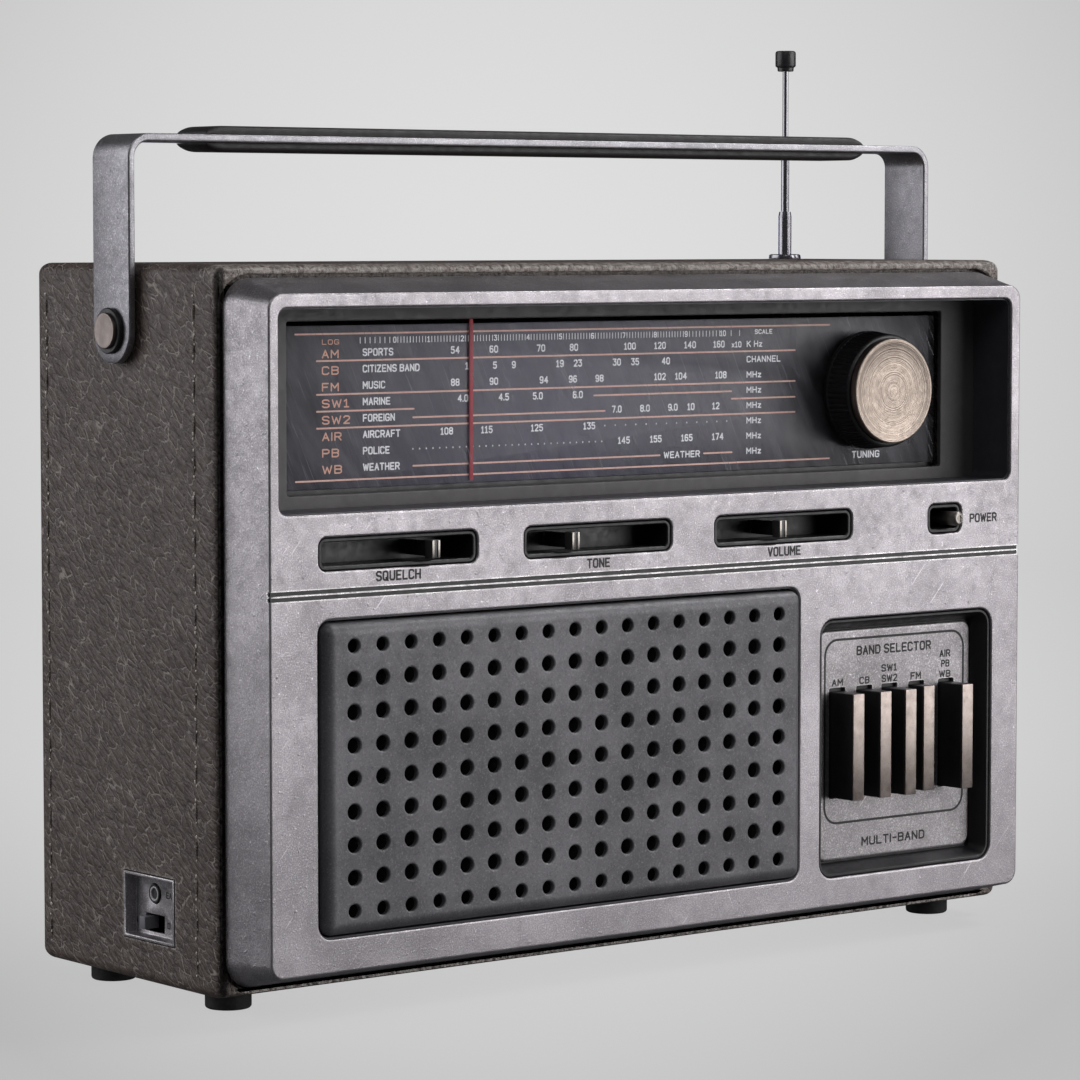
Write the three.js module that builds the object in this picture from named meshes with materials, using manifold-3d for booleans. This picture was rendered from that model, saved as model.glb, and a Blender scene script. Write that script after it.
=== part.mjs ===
// A portable multi-band shortwave receiver: a leatherette-covered cabinet with a raised silver front,
// a recessed tuning dial, slide controls, piano-key band selector, strap handle and pull-up antenna.
// Millimetres, +Z up, the front faces -Y, and the origin lies under the middle at the foot plane.
import * as THREE from "three";
import { mergeVertices } from "three/addons/utils/BufferGeometryUtils.js";
import Module from "manifold-3d";

const wasm = await Module();
wasm.setup();

// ---- driving dimensions ----
const CABINET = { width: 304, depth: 94, height: 206, wall: 6, edge: 4.5 };
const FOOT = { radius: 6.7, height: 5.7, insetX: 15, insetY: 16.9 };
const FACE = { width: 290, height: 191.2, proud: 16.2, corner: 4.5, plate: 3 };
const BEZEL_SPREAD = 4.1; // how far the slanted bezel sides widen on their way back
const GAP = 0.3; // clearance between neighbouring pieces
const SIDES = 24; // facets of an ordinary round piece

// ---- planes that the pieces are placed from ----
const CABINET_REAR = 57.3;
const CABINET_FRONT = CABINET_REAR - CABINET.depth;
const CABINET_MIDDLE = (CABINET_REAR + CABINET_FRONT) / 2;
const FACE_Y = CABINET_FRONT - FACE.proud;
const BASE_Z = FOOT.height;
const TOP_Z = BASE_Z + CABINET.height;
const SIDE_X = CABINET.width / 2;
const FACE_Z = 108.2; // height of the face plate's centre
const PLATE_BACK = FACE_Y + FACE.plate;

// ---- front openings, each as centre, size and corner radius ----
const DIAL = { x: -0.3, z: 170.95, width: 282.3, height: 57.4, corner: 2.6, depth: 17 };
const SLOT = { z: 130.95, width: 55.9, height: 9.6, corner: 2.7 };
const SLOT_CENTRES = { squelch: -100.3, tone: -27.5, volume: 45.1 };
const SLIDER_REST = { squelch: -89.2, tone: -38.3, volume: 42.4 };
const POWER = { x: 112.4, z: 131.05, width: 14.5, height: 9.4, corner: 2.7 };
const SPEAKER = { x: -38.5, z: 67.6, width: 180.2, height: 90.1, corner: 4 };
const SELECTOR = { x: 96.6, z: 61.8, width: 73, height: 80.2, corner: 4.8 };
const GROOVE = { z: 119.85, line: 1.1, ridge: 0.7, depth: 1.2 };

// ---- dial, knob and drive ----
const WINDOW = { width: 249.8, height: 46.5, z: 170.95, frontY: FACE_Y + 18.5, thickness: 1.2 };
const FRAME_INNER = { width: 253.4, height: 49.2, corner: 0.6 };
const SCALE_FRONT = FACE_Y + 20.8;
const KNOB = { x: 94.9, z: 171.3, frontRadius: 17.6, backRadius: 18.5, capRadius: 16.3 };
const KNOB_BACK = FACE_Y + 17.6;
const KNOB_RIM = FACE_Y + 7.3;
const KNOB_FRONT = FACE_Y + 4.9;
const SHAFT_RADIUS = 3;
const DRUM = { x: 50, z: 162, radius: 30 };
const POINTER = { x: -59.3, width: 1.4, bottom: 148.4, top: 195.6 };
const RAIL = { y: FACE_Y + 25.4, z: 199.4, radius: 1.2 };

// ---- band selector ----
const KEY = { bottom: 45.8, top: 78.7, baseWidth: 6.2, frontWidth: 4.6, travel: 4 };
const KEY_CENTRES = { am: 72.15, cb: 83.55, sw: 94.2, fm: 105.75, air: 118.6 };
const KEY_FRONT = FACE_Y - 4.4;
const KEY_TAPER_END = FACE_Y + 7;
const PRESSED_KEY = "fm";
const SELECTOR_PLATE = { width: 65, height: 72, frontY: FACE_Y + 5.6, corner: 3.5 };

// ---- side panel, handle and antenna ----
const JACK_PANEL = { y: -2, z: 27.7, width: 26.8, height: 19.8, depth: 3.6 };
const JACK = { y: 0.35, z: 31.3, ringRadius: 3 };
const SIDE_SWITCH = { y: 0.5, z: 22.7, width: 9.9, height: 5.1, knobWidth: 2.9, knobHeight: 3.7 };
const PIVOT = { y: CABINET_MIDDLE, z: 192.6, pin: 2.2 };
const STRAP = { outerX: 155.6, thickness: 2.3, width: 19, topZ: 248.65, bend: 7 };
const GRIP = { length: 255.6, width: 15.6, lower: 2.5, upper: 2.4, endLength: 5 };
const ANTENNA = { x: 132, y: 45.1, cupRadius: 5.4, cupHeight: 1.6 };

// ---- finishes ----
const FINISHES = {
  leatherette: { color: 0x4b4440, roughness: 0.55, metalness: 0 },
  silverPaint: { color: 0xa8a3a8, roughness: 0.38, metalness: 0.6 },
  blackPlastic: { color: 0x141416, roughness: 0.45, metalness: 0 },
  greyPlastic: { color: 0x4a4a4c, roughness: 0.55, metalness: 0 },
  dialPlastic: { color: 0x3c3b44, roughness: 0.5, metalness: 0 },
  clearPlastic: { color: 0xe8ecf2, roughness: 0.1, metalness: 0, transparent: true, opacity: 0.2 },
  grillePaint: { color: 0x555558, roughness: 0.55, metalness: 0.2 },
  champagne: { color: 0xc8b9a5, roughness: 0.3, metalness: 0.9 },
  chrome: { color: 0xc9ccd0, roughness: 0.12, metalness: 1 },
  steel: { color: 0x9a989c, roughness: 0.35, metalness: 0.9 },
  rubber: { color: 0x222222, roughness: 0.85, metalness: 0 },
  pointerRed: { color: 0xbe323c, roughness: 0.4, metalness: 0 },
  circuitBoard: { color: 0x6b4a24, roughness: 0.6, metalness: 0 },
  ferrite: { color: 0x2c2a2a, roughness: 0.7, metalness: 0 },
  paperCone: { color: 0x2a2725, roughness: 0.9, metalness: 0 },
};

const radio = new THREE.Group();

// ---- solid helpers ----

// A closed three.js geometry as a manifold-3d solid, turned outside out if its faces point in.
function solid(geometry) {
  const bare = geometry.index ? geometry.toNonIndexed() : geometry.clone();
  bare.deleteAttribute("normal");
  bare.deleteAttribute("uv");
  const merged = mergeVertices(bare, 1e-4);
  const triVerts = new Uint32Array(merged.index.array);
  const mesh = { numProp: 3, vertProperties: merged.attributes.position.array, triVerts };
  const made = new wasm.Manifold(new wasm.Mesh(mesh));
  if (made.volume() > 0) return made;
  triVerts.reverse();
  return new wasm.Manifold(new wasm.Mesh(mesh));
}

function join(first, ...others) {
  return others.reduce((sum, other) => sum.add(other), first);
}

function cut(base, ...tools) {
  return tools.reduce((rest, tool) => rest.subtract(tool), base);
}

// Adds a solid to the radio as a named mesh with one of the finishes.
function addPart(name, made, finish) {
  const { numProp, numVert, vertProperties, triVerts } = made.getMesh();
  const positions = new Float32Array(numVert * 3);
  for (let i = 0; i < numVert; i++) {
    positions.set(vertProperties.subarray(i * numProp, i * numProp + 3), i * 3);
  }
  const geometry = new THREE.BufferGeometry();
  geometry.setAttribute("position", new THREE.BufferAttribute(positions, 3));
  geometry.setIndex(new THREE.BufferAttribute(triVerts, 1));
  geometry.computeVertexNormals();
  const mesh = new THREE.Mesh(geometry, new THREE.MeshStandardMaterial(FINISHES[finish]));
  mesh.name = name;
  radio.add(mesh);
}

// A box between two corners.
function box([x0, y0, z0], [x1, y1, z1]) {
  const geometry = new THREE.BoxGeometry(x1 - x0, y1 - y0, z1 - z0);
  return solid(geometry.translate((x0 + x1) / 2, (y0 + y1) / 2, (z0 + z1) / 2));
}

// A round bar from start to end along one axis; centre gives its place on the other two.
function bar(axis, radius, start, end, centre, sides = SIDES) {
  const geometry = new THREE.CylinderGeometry(radius, radius, end - start, sides);
  if (axis === "x") geometry.rotateZ(-Math.PI / 2);
  if (axis === "z") geometry.rotateX(Math.PI / 2);
  const place = new THREE.Vector3(centre.x ?? 0, centre.y ?? 0, centre.z ?? 0);
  place[axis] = (start + end) / 2;
  return solid(geometry.translate(place.x, place.y, place.z));
}

function tube(axis, outer, inner, start, end, centre, sides = SIDES) {
  return cut(bar(axis, outer, start, end, centre, sides), bar(axis, inner, start - 1, end + 1, centre, sides));
}

// A solid of revolution about a line along Y; profile holds [radius, y] pairs.
function turned(profile, centre, sides = SIDES) {
  const points = profile.map(([radius, y]) => new THREE.Vector2(radius, y));
  return solid(new THREE.LatheGeometry(points, sides).translate(centre.x, 0, centre.z));
}

function roundedRectangle(width, height, corner) {
  const x = width / 2;
  const y = height / 2;
  const shape = new THREE.Shape();
  shape.absarc(x - corner, y - corner, corner, 0, Math.PI / 2);
  shape.absarc(corner - x, y - corner, corner, Math.PI / 2, Math.PI);
  shape.absarc(corner - x, corner - y, corner, Math.PI, 1.5 * Math.PI);
  shape.absarc(x - corner, corner - y, corner, 1.5 * Math.PI, 2 * Math.PI);
  return shape;
}

// A flat outline drawn as seen from the front, filled between two depths.
function slab(shape, front, back, centre, curveSegments = 3) {
  const geometry = new THREE.ExtrudeGeometry(shape, {
    depth: back - front,
    bevelEnabled: false,
    curveSegments,
  });
  return solid(geometry.rotateX(Math.PI / 2).translate(centre.x, back, centre.z));
}

function roundedSlab({ width, height, corner, x, z }, front, back, grow = 0) {
  const shape = roundedRectangle(width + 2 * grow, height + 2 * grow, Math.max(corner + grow, 0.2));
  return slab(shape, front, back, { x, z });
}

// Joins rounded rectangles of changing size, each { width, height, corner, y }, into one skin.
function loft(sections, centre, curveSegments = 3) {
  const loops = sections.map(({ width, height, corner }) =>
    mergedLoop(roundedRectangle(width, height, corner).getPoints(curveSegments)),
  );
  const count = loops[0].length;
  const positions = [];
  const corner = (section, i) => {
    const point = loops[section][i % count];
    return [centre.x + point.x, sections[section].y, centre.z + point.y];
  };
  for (let s = 0; s + 1 < sections.length; s++) {
    for (let i = 0; i < count; i++) {
      positions.push(...corner(s, i), ...corner(s, i + 1), ...corner(s + 1, i + 1));
      positions.push(...corner(s, i), ...corner(s + 1, i + 1), ...corner(s + 1, i));
    }
  }
  const last = sections.length - 1;
  for (let i = 1; i + 1 < count; i++) {
    positions.push(...corner(0, 0), ...corner(0, i + 1), ...corner(0, i));
    positions.push(...corner(last, 0), ...corner(last, i), ...corner(last, i + 1));
  }
  const geometry = new THREE.BufferGeometry();
  geometry.setAttribute("position", new THREE.Float32BufferAttribute(positions, 3));
  return solid(geometry);
}

// Drops the closing point of an outline, which repeats its first.
function mergedLoop(points) {
  const first = points[0];
  return points.filter((point, i) => i === 0 || point.distanceTo(first) > 1e-6);
}

// ---- cabinet ----

function cabinetShell() {
  const { width, height, edge, wall } = CABINET;
  const centre = { x: 0, z: BASE_Z + height / 2 };
  const step = (inset, y) => ({
    width: width - 2 * inset,
    height: height - 2 * inset,
    corner: edge + 1 - inset,
    y,
  });
  const half = edge * (1 - Math.SQRT1_2);
  const skin = loft(
    [
      step(edge, CABINET_FRONT),
      step(half, CABINET_FRONT + half),
      step(0, CABINET_FRONT + edge),
      step(0, CABINET_REAR - edge),
      step(half, CABINET_REAR - half),
      step(edge, CABINET_REAR),
    ],
    centre,
    2,
  );
  const hollow = { width: width - 2 * wall, height: height - 2 * wall, corner: 2, ...centre };
  const jackHole = box(
    [-SIDE_X - 1, JACK_PANEL.y - JACK_PANEL.width / 2, JACK_PANEL.z - JACK_PANEL.height / 2],
    [-SIDE_X + wall + 1, JACK_PANEL.y + JACK_PANEL.width / 2, JACK_PANEL.z + JACK_PANEL.height / 2],
  );
  const pivotHoles = bar("x", PIVOT.pin + GAP, -SIDE_X - 1, SIDE_X + 1, PIVOT);
  const antennaHole = bar("z", 4.3, TOP_Z - wall - 1, TOP_Z + 1, ANTENNA, 16);
  return cut(
    skin,
    roundedSlab(hollow, CABINET_FRONT - 1, CABINET_REAR + 1),
    jackHole,
    pivotHoles,
    antennaHole,
  );
}

const REAR_COVER = {
  width: CABINET.width - 2 * CABINET.wall - 0.6,
  height: CABINET.height - 2 * CABINET.wall - 0.6,
  corner: 1.8,
  x: 0,
  z: BASE_Z + CABINET.height / 2,
  front: CABINET_REAR - 4,
  back: CABINET_REAR - 1,
};
const BATTERY_DOOR = { x: -75, z: 38, width: 112, height: 42 };

function rearCover() {
  const doorway = { ...BATTERY_DOOR, corner: 1 };
  const vents = [];
  const ventCount = 9;
  const ventPitch = 8;
  for (let i = 0; i < ventCount; i++) {
    const z = 112 + i * ventPitch;
    vents.push(box([-88, REAR_COVER.front - 1, z], [12, REAR_COVER.back + 1, z + 3]));
  }
  return cut(
    roundedSlab(REAR_COVER, REAR_COVER.front, REAR_COVER.back),
    roundedSlab(doorway, REAR_COVER.front - 1, REAR_COVER.back + 1, 0.5),
    ...vents,
  );
}

function batteryDoor() {
  const door = { ...BATTERY_DOOR, corner: 1 };
  const latch = { x: door.x, z: door.z + door.height / 2 - 6, width: 18, height: 5, corner: 1 };
  const back = REAR_COVER.back;
  return cut(roundedSlab(door, back - 2, back), roundedSlab(latch, back - 1, back + 1));
}

function batteryTray() {
  const { x, z, width, height } = BATTERY_DOOR;
  const outer = { x, z, width: width + 6, height: height + 4, corner: 2 };
  const back = REAR_COVER.front - GAP;
  const front = 16;
  const bay = { x, z, width: width - 2, height: height - 2, corner: 1 };
  return cut(roundedSlab(outer, front, back), roundedSlab(bay, front + 1.6, back + 1));
}

function foot(side, y) {
  const centre = { x: side * (SIDE_X - FOOT.insetX), y };
  const chamfer = 0.8;
  const profile = [
    [0, 0],
    [FOOT.radius - chamfer, 0],
    [FOOT.radius, chamfer],
    [FOOT.radius, FOOT.height],
    [0, FOOT.height],
  ].map(([radius, z]) => new THREE.Vector2(radius, z));
  return solid(new THREE.LatheGeometry(profile, SIDES).rotateX(Math.PI / 2).translate(centre.x, centre.y, 0));
}

// ---- silver front ----

function frontBezel() {
  const centre = { x: 0, z: FACE_Z };
  const back = CABINET_FRONT - GAP;
  const step = (grow, y) => ({
    width: FACE.width + 2 * grow,
    height: FACE.height + 2 * grow,
    corner: FACE.corner + grow,
    y,
  });
  const softEdge = 0.6;
  const skin = loft([step(-softEdge, FACE_Y), step(0, FACE_Y + softEdge), step(BEZEL_SPREAD, back)], centre);
  const dialBack = FACE_Y + DIAL.depth - GAP;
  const dialWall = box([-144, PLATE_BACK, DIAL.z - DIAL.height / 2 - 3], [144, dialBack, DIAL.z + 32]);
  const hollowTop = DIAL.z - DIAL.height / 2 - 3;
  const hollow = box([-142, PLATE_BACK, 17], [142, back + 1, hollowTop]);
  const slots = Object.values(SLOT_CENTRES).map((x) => roundedSlab({ ...SLOT, x }, FACE_Y - 1, PLATE_BACK + 1));
  const grooveLines = [-1, 1].map((side) => {
    const z = GROOVE.z + (side * (GROOVE.ridge + GROOVE.line)) / 2;
    const half = GROOVE.line / 2;
    return box([-FACE.width / 2 - 1, FACE_Y - 1, z - half], [FACE.width / 2 + 1, FACE_Y + GROOVE.depth, z + half]);
  });
  return cut(
    join(cut(skin, hollow), dialWall),
    roundedSlab(DIAL, FACE_Y - 1, dialBack + 1),
    ...slots,
    roundedSlab(POWER, FACE_Y - 1, PLATE_BACK + 1),
    roundedSlab(SPEAKER, FACE_Y - 1, PLATE_BACK + 1),
    roundedSlab(SELECTOR, FACE_Y - 1, PLATE_BACK + 1),
    ...grooveLines,
  );
}

function dialFrame() {
  const front = FACE_Y + DIAL.depth;
  const plate = { x: DIAL.x, z: DIAL.z, width: 287, height: 62.8, corner: 2 };
  const opening = { ...FRAME_INNER, x: DIAL.x, z: DIAL.z };
  return cut(roundedSlab(plate, front, front + 1.4), roundedSlab(opening, front - 1, front + 3));
}

function dialWindow() {
  const pane = { ...WINDOW, x: DIAL.x, corner: 0.6 };
  const shaftHole = bar("y", SHAFT_RADIUS + 0.6, WINDOW.frontY - 1, WINDOW.frontY + 3, KNOB, 16);
  return cut(roundedSlab(pane, WINDOW.frontY, WINDOW.frontY + WINDOW.thickness), shaftHole);
}

function dialScale() {
  const plate = { ...WINDOW, x: DIAL.x, corner: 0.6 };
  const shaftHole = bar("y", SHAFT_RADIUS + 0.6, SCALE_FRONT - 1, SCALE_FRONT + 3, KNOB, 16);
  return cut(roundedSlab(plate, SCALE_FRONT, SCALE_FRONT + 1.5), shaftHole);
}

function speakerGrille() {
  const { x, z, width, height, corner } = SPEAKER;
  const lip = 1;
  const step = (inset, y) => ({
    width: width - 2 * (lip + inset),
    height: height - 2 * (lip + inset),
    corner: Math.max(corner - lip - inset * 0.5, 1),
    y,
  });
  const front = FACE_Y - 2.4;
  const pillow = 4.2;
  const skin = loft(
    [
      step(pillow, front),
      step(pillow * 0.45, front + 0.5),
      step(pillow * 0.12, front + 1.7),
      step(0, front + 3.4),
      step(0, PLATE_BACK),
    ],
    { x, z },
  );
  const hollow = { x, z, width: width - 14, height: height - 14, corner: 2 };
  const holes = [];
  const columns = 17;
  const rows = 9;
  const pitch = { x: 9.93, z: 9.37 };
  for (let column = 0; column < columns; column++) {
    for (let row = 0; row < rows; row++) {
      const edgeRow = row === 0 || row === rows - 1;
      const centre = {
        x: x + (column - (columns - 1) / 2) * pitch.x,
        z: z + (row - (rows - 1) / 2) * pitch.z,
      };
      holes.push(bar("y", edgeRow ? 2 : 2.2, front - 1, PLATE_BACK + 1, centre, 6));
    }
  }
  return cut(skin, roundedSlab(hollow, front + 2, PLATE_BACK + 1), wasm.Manifold.union(holes));
}

function selectorTray() {
  const { x, z, width, height, corner } = SELECTOR;
  const floor = SELECTOR_PLATE.frontY + 1.3;
  const rim = FACE_Y + 1;
  const outer = { x, z, width: width - 2 * GAP, height: height - 2 * GAP, corner: corner - GAP };
  const mouth = { width: width - 2.6, height: height - 2.6, corner: corner - 1 };
  const throat = { width: SELECTOR_PLATE.width + 0.6, height: SELECTOR_PLATE.height + 0.6, corner: 3.6 };
  const pocket = loft(
    [
      { ...mouth, y: rim - 1 },
      { ...mouth, y: rim },
      { ...throat, y: SELECTOR_PLATE.frontY },
      { ...throat, y: floor },
    ],
    { x, z },
  );
  return cut(roundedSlab(outer, rim, floor + 1.4), pocket, ...keyOpenings(floor - 1, floor + 3));
}

// One rectangular passage for each band key, a little wider and taller than the key.
function keyOpenings(front, back) {
  const side = KEY.baseWidth / 2 + 0.25;
  return Object.values(KEY_CENTRES).map((x) =>
    box([x - side, front, KEY.bottom - 0.4], [x + side, back, KEY.top + 1.5]),
  );
}

function selectorPlate() {
  const plate = { ...SELECTOR_PLATE, x: SELECTOR.x, z: SELECTOR.z };
  const front = SELECTOR_PLATE.frontY;
  return cut(roundedSlab(plate, front, front + 1.2), ...keyOpenings(front - 1, front + 3));
}

function controlWell() {
  const floorFront = FACE_Y + 11.9;
  const back = floorFront + 1.5;
  const rimFront = FACE_Y + 0.5;
  const openings = [...Object.values(SLOT_CENTRES).map((x) => ({ ...SLOT, x })), POWER];
  const body = box([-133, PLATE_BACK + GAP, 125], [124, back, 137]);
  const rims = openings.map((opening) => roundedSlab(opening, rimFront, PLATE_BACK + 1, -GAP));
  const pockets = openings.map((opening) => roundedSlab(opening, rimFront - 1, floorFront, -1.2));
  const stemSlots = Object.values(SLOT_CENTRES).map((x) =>
    box([x - 24, floorFront - 1, SLOT.z - 1.1], [x + 24, back + 1, SLOT.z + 1.1]),
  );
  const leverHole = bar("y", 3.4, floorFront - 1, back + 1, POWER, 16);
  return cut(join(body, ...rims), ...pockets, ...stemSlots, leverHole);
}

// ---- slide controls and power lever ----

const WELL_BACK = FACE_Y + 13.4;

function sliderLever(x) {
  const front = FACE_Y - 2.5;
  const block = box([x - 1.45, front, SLOT.z - 2.6], [x + 1.45, front + 5.8, SLOT.z + 2.6]);
  const stem = box([x - 0.8, front + 5, SLOT.z - 0.7], [x + 0.8, WELL_BACK + 3, SLOT.z + 0.7]);
  return join(block, stem);
}

function potentiometer(x) {
  const front = WELL_BACK + GAP;
  const body = box([x - 30, front, SLOT.z - 4.5], [x + 30, front + 8, SLOT.z + 4.5]);
  const channel = box([x - 25, front - 1, SLOT.z - 1.2], [x + 25, front + 5, SLOT.z + 1.2]);
  return cut(body, channel);
}

const POWER_PIVOT_Y = FACE_Y + 10;
const POWER_TILT = 11; // degrees that the lever leans towards +X when switched on

function powerToggle() {
  const tip = 14;
  const radius = 2.2;
  const ball = 2.5;
  const profile = [[0, ball]];
  profile.push([ball * 0.7, ball * 0.7], [ball, 0], [1.5, -ball * 0.9], [1.5, -5]);
  profile.push([radius, -7], [radius, -(tip - 1)], [radius * 0.7, -(tip - 0.3)], [0, -tip]);
  const points = profile.map(([r, y]) => new THREE.Vector2(r, y));
  const lever = new THREE.LatheGeometry(points, 16);
  lever.rotateZ(THREE.MathUtils.degToRad(POWER_TILT));
  return solid(lever.translate(POWER.x, POWER_PIVOT_Y, POWER.z));
}

function powerSwitch() {
  const front = WELL_BACK + GAP;
  return box([POWER.x - 8, front, POWER.z - 6], [POWER.x + 8, front + 12, POWER.z + 6]);
}

// ---- tuning drive ----

function tuningKnob() {
  const bore = SHAFT_RADIUS + 0.1;
  return turned(
    [
      [bore, KNOB_BACK],
      [KNOB.backRadius, KNOB_BACK],
      [KNOB.backRadius, KNOB_BACK - 2],
      [KNOB.frontRadius, KNOB_RIM + 0.6],
      [KNOB.frontRadius - 0.6, KNOB_RIM],
      [0, KNOB_RIM],
      [0, KNOB_RIM + 3],
      [bore, KNOB_RIM + 3],
      [bore, KNOB_BACK],
    ],
    KNOB,
    48,
  );
}

function tuningKnobCap() {
  const back = KNOB_RIM - 0.05;
  return turned(
    [
      [0, back],
      [KNOB.capRadius, back],
      [KNOB.capRadius, KNOB_FRONT + 0.5],
      [KNOB.capRadius - 0.5, KNOB_FRONT],
      [0, KNOB_FRONT],
    ],
    KNOB,
    48,
  );
}

function tuningDrum() {
  const front = SCALE_FRONT + 1.9;
  const back = front + 3.6;
  const groove = DRUM.radius - 1.2;
  return turned(
    [
      [0, front],
      [DRUM.radius, front],
      [groove, front + 1.2],
      [groove, back - 1.2],
      [DRUM.radius, back],
      [0, back],
    ],
    DRUM,
    32,
  );
}

function tuningCapacitor() {
  const front = SCALE_FRONT + 6;
  const body = box([DRUM.x - 17, front, DRUM.z - 14], [DRUM.x + 17, front + 26, DRUM.z + 16]);
  const blades = [];
  for (let i = 0; i < 6; i++) {
    const y = front + 2 + i * 4;
    blades.push(box([DRUM.x - 15, y, DRUM.z - 15], [DRUM.x + 15, y + 2.4, DRUM.z + 4]));
  }
  return cut(body, ...blades);
}

function dialPointer() {
  const { x, width, bottom, top } = POINTER;
  const front = SCALE_FRONT - 0.7;
  const side = width / 2;
  const needle = box([x - side, front, bottom], [x + side, front + 0.4, top]);
  const bridge = box([x - side, front, top - 0.6], [x + side, RAIL.y + 1, top]);
  const neck = box([x - side, RAIL.y - 1, top - 0.6], [x + side, RAIL.y + 1, RAIL.z - 2]);
  const runner = tube("x", 2.6, RAIL.radius + 0.3, x - 5, x + 5, RAIL, 12);
  return join(needle, bridge, neck, runner);
}

// ---- speaker ----

function speakerBasket() {
  const front = PLATE_BACK + 1.4;
  return turned(
    [
      [37, front],
      [43, front],
      [43, front + 1.2],
      [37, front + 4],
      [22, front + 18],
      [8, front + 18],
      [8, front + 16.8],
      [21, front + 16.8],
      [35.6, front + 3.4],
      [37, front],
    ],
    SPEAKER,
    32,
  );
}

function speakerCone() {
  const front = PLATE_BACK + 2;
  return turned(
    [
      [0, front + 9.5],
      [8, front + 12],
      [34.6, front + 1.2],
      [35.4, front + 2],
      [9, front + 13.6],
      [7, front + 15.6],
      [0, front + 15.6],
    ],
    SPEAKER,
    32,
  );
}

function speakerMagnet() {
  const front = PLATE_BACK + 19.7;
  return bar("y", 19, front, front + 13, SPEAKER, 32);
}

// ---- band selector ----

function bandKey(name) {
  const x = KEY_CENTRES[name];
  const shift = name === PRESSED_KEY ? KEY.travel : 0;
  const middle = (KEY.bottom + KEY.top) / 2;
  const height = KEY.top - KEY.bottom;
  const front = KEY_FRONT + 0.7;
  const back = FACE_Y + 12;
  const body = loft(
    [
      { width: KEY.frontWidth, height, corner: 0.3, y: front + shift },
      { width: KEY.baseWidth, height, corner: 0.3, y: KEY_TAPER_END + shift },
      { width: KEY.baseWidth, height, corner: 0.3, y: back + shift },
    ],
    { x, z: middle },
    1,
  );
  const stem = box([x - 1, back - 1 + shift, middle - 5], [x + 1, back + 4 + shift, middle + 5]);
  return join(body, stem);
}

function bandKeyFace(name) {
  const x = KEY_CENTRES[name];
  const shift = name === PRESSED_KEY ? KEY.travel : 0;
  const front = KEY_FRONT + shift;
  const side = KEY.frontWidth / 2;
  return box([x - side, front, KEY.bottom], [x + side, front + 0.65, KEY.top]);
}

function bandSwitchBank() {
  const front = FACE_Y + 21;
  const body = box([64, front, 46], [127, front + 26, 78]);
  const lugs = [];
  for (let i = 0; i < 6; i++) {
    const z = 49 + i * 5;
    lugs.push(box([66, front + 25, z], [125, front + 28, z + 1]));
  }
  return join(body, ...lugs);
}

// ---- works inside ----

function mainCircuitBoard() {
  const front = 10;
  const board = box([-60, front, 66], [58, front + 1.6, 140]);
  const cans = [];
  for (let i = 0; i < 5; i++) {
    const x = -50 + i * 16;
    cans.push(box([x, front - 12, 122], [x + 9, front + 0.2, 131]));
  }
  const capacitors = [-40, -22, -4, 30].map((x) => bar("y", 4.5, front - 16, front + 0.2, { x, z: 112 }, 12));
  return join(board, ...cans, ...capacitors);
}

function ferriteRod() {
  const rod = bar("x", 4.5, -96, 20, { y: 30, z: 190 }, 16);
  const coils = [-80, -30].map((x) => bar("x", 6, x, x + 26, { y: 30, z: 190 }, 16));
  return join(rod, ...coils);
}

// ---- side panel ----

const PANEL_X = -SIDE_X + JACK_PANEL.depth;

function jackPanel() {
  const y = JACK_PANEL.width / 2 - GAP;
  const z = JACK_PANEL.height / 2 - GAP;
  const rim = 0.9;
  const tray = box([-SIDE_X - 0.3, JACK_PANEL.y - y, JACK_PANEL.z - z], [PANEL_X + 1.2, JACK_PANEL.y + y, JACK_PANEL.z + z]);
  const pocket = box(
    [-SIDE_X - 1, JACK_PANEL.y - y + rim, JACK_PANEL.z - z + rim],
    [PANEL_X, JACK_PANEL.y + y - rim, JACK_PANEL.z + z - rim],
  );
  const jackHole = bar("x", JACK.ringRadius, PANEL_X - 1, PANEL_X + 2, JACK, 16);
  const { width, height } = SIDE_SWITCH;
  const switchHole = box(
    [PANEL_X - 1, SIDE_SWITCH.y - width / 2, SIDE_SWITCH.z - height / 2],
    [PANEL_X + 2, SIDE_SWITCH.y + width / 2, SIDE_SWITCH.z + height / 2],
  );
  return cut(tray, pocket, jackHole, switchHole);
}

function earphoneJack() {
  const barrel = bar("x", JACK.ringRadius - 0.2, PANEL_X - 0.5, PANEL_X + 9, JACK, 16);
  const body = box([PANEL_X + 1.5, JACK.y - 4, JACK.z - 4], [PANEL_X + 11, JACK.y + 4, JACK.z + 4]);
  const bore = bar("x", 1.8, PANEL_X - 2, PANEL_X + 8, JACK, 16);
  return cut(join(barrel, body), bore);
}

function sideSwitchKnob() {
  const { y, z, width, knobWidth, knobHeight } = SIDE_SWITCH;
  const rear = y + width / 2 - GAP;
  return box(
    [PANEL_X - 2.4, rear - knobWidth, z - knobHeight / 2],
    [PANEL_X + 2.5, rear, z + knobHeight / 2],
  );
}

// ---- handle ----

// The outline of the bent strap as seen from the front: an upside-down U with rounded bends.
function strapOutline() {
  const { outerX, thickness, topZ, bend } = STRAP;
  const innerX = outerX - thickness;
  const innerTop = topZ - thickness;
  const innerBend = bend - thickness;
  const shape = new THREE.Shape();
  shape.moveTo(outerX, PIVOT.z);
  shape.absarc(outerX - bend, topZ - bend, bend, 0, Math.PI / 2);
  shape.absarc(bend - outerX, topZ - bend, bend, Math.PI / 2, Math.PI);
  shape.lineTo(-outerX, PIVOT.z);
  shape.lineTo(-innerX, PIVOT.z);
  shape.absarc(innerBend - innerX, innerTop - innerBend, innerBend, Math.PI, Math.PI / 2, true);
  shape.absarc(innerX - innerBend, innerTop - innerBend, innerBend, Math.PI / 2, 0, true);
  shape.lineTo(innerX, PIVOT.z);
  return shape;
}

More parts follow.
